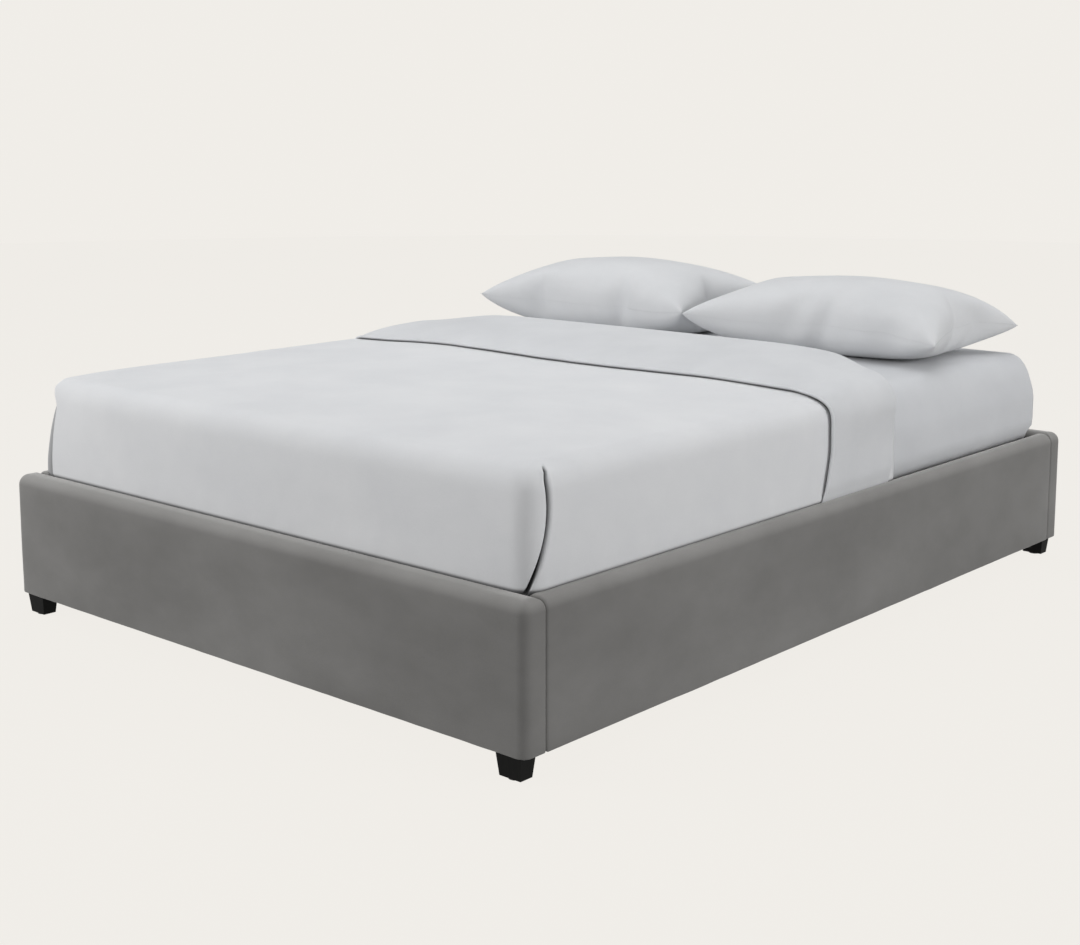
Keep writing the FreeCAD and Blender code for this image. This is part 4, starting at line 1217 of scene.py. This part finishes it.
def turned_down():
    """The duvet's head end, folded back over itself."""
    line, out = arch()
    hems = hem_place(line)
    rows = []
    for (x, z), (nx, nz), hem in zip(line, out, hems):
        down = 1 - float(ease(rail_top - 4 * MM, rail_top + 40 * MM, z))
        across = abs(x) / duvet_high.x
        drop = float(dropped(z))
        at_edge = 1 - 0.36 * float(ease(0.66, 0.97, across))
        thick = BAND_LOFT * at_edge * (1 - 0.7 * float(ease(0.0, 0.6, drop)))
        thick = thick * (1 - down) + 3.0 * MM * down
        back = NOSE_BACK * float(ease(0.72, 1.0, across))
        fold = duvet_high.y + NOSE_REACH - back + 7 * MM * math.sin(4 * x + 1)
        squeeze = 1 - 0.8 * down
        section = band_profile(hem, fold, thick)
        rows.append([(x + nx * h * squeeze, y, z + nz * h * squeeze) for y, h in section])
    count = len(rows[0])
    faces = loft(len(rows), count, True)
    faces += [tuple(range(count))[::-1], tuple(range((len(rows) - 1) * count, len(rows) * count))]
    piece = as_piece("duvet_turned_down", [p for row in rows for p in row], faces, DARKER_DUVET_COTTON)
    # painted shade: the band's underside next to the hem and the lower turn of the hem's edge are darkened
    paint_shade(piece, ([1.0, 1.0, 0.85, 0.3] + [0.0] * (count - 6) + [0.0, 1.0]) * len(rows))

    def fullness(points, normals):
        past_hem = ease(-0.12, 0.06, points[:, 1])
        above = ease(rail_top + 10 * MM, rail_top + 80 * MM, points[:, 2])
        upper = ease(-0.2, 0.3, normals[:, 2] + np.abs(normals[:, 0]))
        long_folds = 3.2 * MM * lumps(points * (0.5, 1.6, 1.0), 0.15, 41)
        small = 1.0 * MM * lumps(points * (1.0, 1.0, 0.6), 0.07, 42)
        return past_hem * above * upper * (long_folds + small)

    swell(piece, fullness)
    piece = subdivided(piece)
    mounted(piece, MATTRESS_BODY, "duvet_cotton", "duvet_turndown")
    seam = []
    lift = 0.78 * HEM_THICK
    for (x, z), (nx, nz), hem in zip(line, out, hems):
        if z > rail_top + 12 * MM:
            seam.append((x + nx * lift, hem + HEM_FLANGE - 0.6 * MM, z + nz * lift))
    stitches = along_paths("turned_down_hem_stitches", [seam], STITCHES, THREAD, HEM_STITCH_STEP, HEM_STITCH)
    return mounted(stitches, MATTRESS_BODY, "duvet_cotton")


# ---------------------------------------------------------------- pillows

PILLOW_STEP = 9 * MM
# the empty case against the filled pillow: wider, deeper, and how thick it starts
CASE_WIDER = 1.06
CASE_DEEPER = 1.08
CASE_START = 46 * MM
# the filling: pressure inside, frames that it takes, and rounds of smoothing
PRESSURE = 5.0
FILL_FRAMES = 26
SMOOTH_ROUNDS = 60
# how far each pillow stands above its plain box, and how far its right end hangs
PILLOW_CREST = {"left": 20 * MM, "right": 9 * MM}
PILLOW_DROOP = {"left": 0.0, "right": 30 * MM}
# height of the seam above the sheet, depth of the body below the seam, and how far the corners turn up
SEAM_HEIGHT = 84 * MM
UNDERSIDE = 100 * MM
CORNER_LIFT = 14 * MM
# the sheet's surface takes the underside up over this much, and keeps clear of it by this much
SETTLE_GIVE = 9 * MM
SETTLE_CLEAR = 0.4 * MM
SEAM_STITCH = (3.2 * MM, 1.4 * MM, 1.4 * MM)
SEAM_STITCH_STEP = 4.5 * MM


def envelope(name, width, depth, tall, seed):
    """A pillow before it is filled: two cloths joined round the edge, and the numbers of its edge points."""
    across = round(width / PILLOW_STEP)
    deep = round(depth / PILLOW_STEP)
    points, index = [], {}
    for face in (1, -1):
        for j in range(deep + 1):
            for i in range(across + 1):
                on_edge = i in (0, across) or j in (0, deep)
                if face < 0 and on_edge:
                    index[face, i, j] = index[1, i, j]
                    continue
                u, v = 2 * i / across - 1, 2 * j / deep - 1
                height = tall * (1 - u ** 4) ** 0.5 * (1 - v ** 4) ** 0.5
                index[face, i, j] = len(points)
                points.append((u * width / 2, v * depth / 2, face * height))
    faces = []
    for face in (1, -1):
        for j in range(deep):
            for i in range(across):
                square = ((i, j), (i + 1, j), (i + 1, j + 1), (i, j + 1))
                corners = [index[face, column, row] for column, row in square]
                faces.append(corners if face > 0 else corners[::-1])
    edge = [index[1, i, 0] for i in range(across)] + [index[1, across, j] for j in range(deep)]
    edge += [index[1, i, deep] for i in range(across, 0, -1)] + [index[1, 0, j] for j in range(deep, 0, -1)]
    piece = as_piece(name, points, faces, PILLOW_COTTON)
    points = read(piece)
    points[:, 2] += 4 * MM * lumps(points, 0.16, seed)
    write(piece, points)
    return piece, edge


def fill_out(piece):
    """Fills the envelope by cloth simulation under inner pressure."""
    cloth = piece.modifiers.new("filling", "CLOTH")
    settings = cloth.settings
    settings.quality = 6
    settings.mass = 0.25
    settings.tension_stiffness = 18
    settings.compression_stiffness = 2
    settings.shear_stiffness = 2
    settings.bending_stiffness = 3.0
    settings.air_damping = 2.0
    settings.effector_weights.gravity = 0.0
    settings.use_pressure = True
    settings.uniform_pressure_force = PRESSURE
    cloth.collision_settings.use_self_collision = False
    cloth.point_cache.frame_start = 1
    cloth.point_cache.frame_end = FILL_FRAMES
    scene.frame_start = 1
    scene.frame_end = FILL_FRAMES
    for moment in range(1, FILL_FRAMES + 1):
        scene.frame_set(moment)
    piece = frozen(piece)
    scene.frame_set(1)
    return piece


def settled(points, low, high, turn, crest, droop):
    """A filled pillow's points, brought to its size, turned, plumped and laid on the sheet."""
    points = points - (points.max(0) + points.min(0)) / 2
    share = points / points.max(0)
    u, v, w = share.T
    size = high - low
    corner = np.abs(u * v) ** 3
    body = np.sign(w) * np.abs(w) ** 0.78
    above = high.z + crest - low.z - SEAM_HEIGHT
    height = SEAM_HEIGHT + np.where(w > 0, above * body, UNDERSIDE * body)
    height += np.where(u > 0, CORNER_LIFT - droop, CORNER_LIFT) * corner
    x, y = u * size.x / 2, v * size.y / 2
    clear = height - SETTLE_CLEAR
    height = SETTLE_CLEAR + (clear + np.sqrt(clear ** 2 + SETTLE_GIVE ** 2)) / 2
    return np.stack([
        (low.x + high.x) / 2 + x * math.cos(turn) - y * math.sin(turn),
        (low.y + high.y) / 2 + x * math.sin(turn) + y * math.cos(turn),
        low.z + height,
    ], axis=1)


def pillow(side, turn, seed):
    """One pillow in its case, filled out, laid on the sheet and seamed."""
    low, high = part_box(f"pillow_{side}_case")
    size = high - low
    width, depth = size.x * CASE_WIDER, size.y * CASE_DEEPER
    piece, edge = envelope(f"pillow_{side}_in_case", width, depth, CASE_START, seed)
    piece = fill_out(piece)
    points = read(piece)
    share = np.abs(points / points.max(0))
    corner = np.clip(share[:, 0] * share[:, 1], 0, 1)
    piece = softened(piece, 1 - 0.75 * corner ** 6, SMOOTH_ROUNDS)
    write(piece, settled(read(piece), low, high, turn, PILLOW_CREST[side], PILLOW_DROOP[side]))
    points = read(piece)
    seam = [points[k] + (0, 0, 0.6 * MM) for k in edge + edge[:1]]
    piece = subdivided(piece)
    piece.data.shade_smooth()
    body = f"{side}_pillow"
    mounted(piece, body, "pillow_cotton", f"pillow_{side}_case", f"pillow_{side}_insert")
    stitches = along_paths(f"pillow_{side}_seam_stitches", [seam], STITCHES, THREAD,
                           SEAM_STITCH_STEP, SEAM_STITCH)
    return mounted(stitches, body, "pillow_cotton")


# ---------------------------------------------------------------- floor, light and camera

PALE = (0.871, 0.847, 0.807, 1.0)
FLOOR_GLOW = 0.982
DOME_GLOW = 1.0
STAGE_REACH = 13.0
FLOOR_LEVEL = -0.5 * MM
DOME_STEPS = 48
DOME_ROWS = 13
SURROUND_LIGHT = 0.30


def stage():
    """A pale floor and a dome round it in the same tone, so that no horizon shows."""
    pale = Finish("pale_floor", Specular_IOR_Level=0.0, Roughness=1.0)
    pale.colour(pale.mottle(0.6), (0.3, (0.020, 0.020, 0.019)), (0.7, (0.024, 0.024, 0.023)))
    pale.shader.inputs["Emission Color"].default_value = PALE
    pale.shader.inputs["Emission Strength"].default_value = FLOOR_GLOW
    far = STAGE_REACH
    corners = [(x, y, FLOOR_LEVEL) for x, y in ((-far, -far), (far, -far), (far, far), (-far, far))]
    floor = as_piece("floor", corners, [(0, 1, 2, 3)], pale.material)
    glow = Finish("pale_backdrop", Specular_IOR_Level=0.0, Roughness=1.0)
    glow.colour(glow.mottle(0.3), (0.3, (0.0, 0.0, 0.0)), (0.7, (0.01, 0.01, 0.01)))
    glow.shader.inputs["Emission Color"].default_value = PALE
    glow.shader.inputs["Emission Strength"].default_value = DOME_GLOW
    rings = []
    for row in range(DOME_ROWS):
        rise = math.pi / 2 * row / (DOME_ROWS - 0.5)
        radius = far * 0.99 * math.cos(rise)
        for k in range(DOME_STEPS):
            turn = 2 * math.pi * k / DOME_STEPS
            rings.append((radius * math.cos(turn), radius * math.sin(turn), far * math.sin(rise) - MM))
    faces = [tuple(reversed(face)) for face in loft(DOME_ROWS, DOME_STEPS, True)]
    faces.append(tuple(range(len(rings) - DOME_STEPS, len(rings)))[::-1])
    dome = as_piece("backdrop", rings, faces, glow.material)
    for piece in (floor, dome):
        piece.visible_diffuse = False
        piece.visible_glossy = False
        piece.visible_shadow = False
    world = bpy.data.worlds.new("studio")
    world.use_nodes = True
    scene.world = world
    back = world.node_tree.nodes["Background"]
    back.inputs["Color"].default_value = (1.0, 1.0, 1.0, 1.0)
    back.inputs["Strength"].default_value = SURROUND_LIGHT


def softbox(name, place, aim, size, power, colour=(1.0, 1.0, 1.0)):
    """A large square light that looks at a point."""
    light = bpy.data.lights.new(name, "AREA")
    light.shape = "RECTANGLE"
    light.size, light.size_y = size
    light.energy = power
    light.color = colour
    lamp = bpy.data.objects.new(name, light)
    scene.collection.objects.link(lamp)
    lamp.location = place
    lamp.rotation_euler = (Vector(aim) - Vector(place)).to_track_quat("-Z", "Y").to_euler()


def lights():
    """Soft light from above, from the foot and from the right side, and a little over the near corner."""
    softbox("overhead", (-0.3, 0.3, 3.6), (0.0, 0.0, 0.4), (4.5, 4.5), 72.0, (0.965, 0.982, 1.0))
    softbox("from_the_foot", (-3.4, -4.4, 1.7), (-0.2, -0.6, 0.35), (2.6, 2.2), 124.0)
    softbox("from_the_side", (5.0, 1.3, 1.6), (0.5, 0.1, 0.35), (2.6, 2.2), 88.0)
    softbox("over_the_corner", (3.1, -3.8, 2.3), (0.5, -0.8, 0.35), (2.4, 2.4), 22.0)


# the camera: its place, how far it looks down and how far it is turned to the left, in degrees, and its lens
CAMERA_PLACE = (2.7154, -3.1913, 1.1824)
CAMERA_DOWN = 8.394
CAMERA_TURN = 41.497
CAMERA_LENS = 55.68
CAMERA_SENSOR = 36.0
CAMERA_SHIFT = -0.1
CAMERA_FAR = 200.0


def camera():
    """Stands off the right foot corner, above the height of the pillows."""
    view = bpy.data.cameras.new("camera")
    view.lens = CAMERA_LENS
    view.sensor_width = CAMERA_SENSOR
    view.shift_y = CAMERA_SHIFT
    view.clip_end = CAMERA_FAR
    holder = bpy.data.objects.new("camera", view)
    scene.collection.objects.link(holder)
    holder.location = CAMERA_PLACE
    holder.rotation_euler = (math.radians(90 - CAMERA_DOWN), 0.0, math.radians(CAMERA_TURN))
    scene.camera = holder


finish_nodes()
end_panel("foot_panel", -1)
end_panel("head_panel", 1)
side_rail("left_rail", -1)
side_rail("right_rail", 1)
staple_lines()
mattress()
edge_tape()
fitted_sheet()
duvet()
turned_down()
pillow("left", math.radians(1.5), 51)
pillow("right", math.radians(4.0), 52)
stage()
lights()
camera()
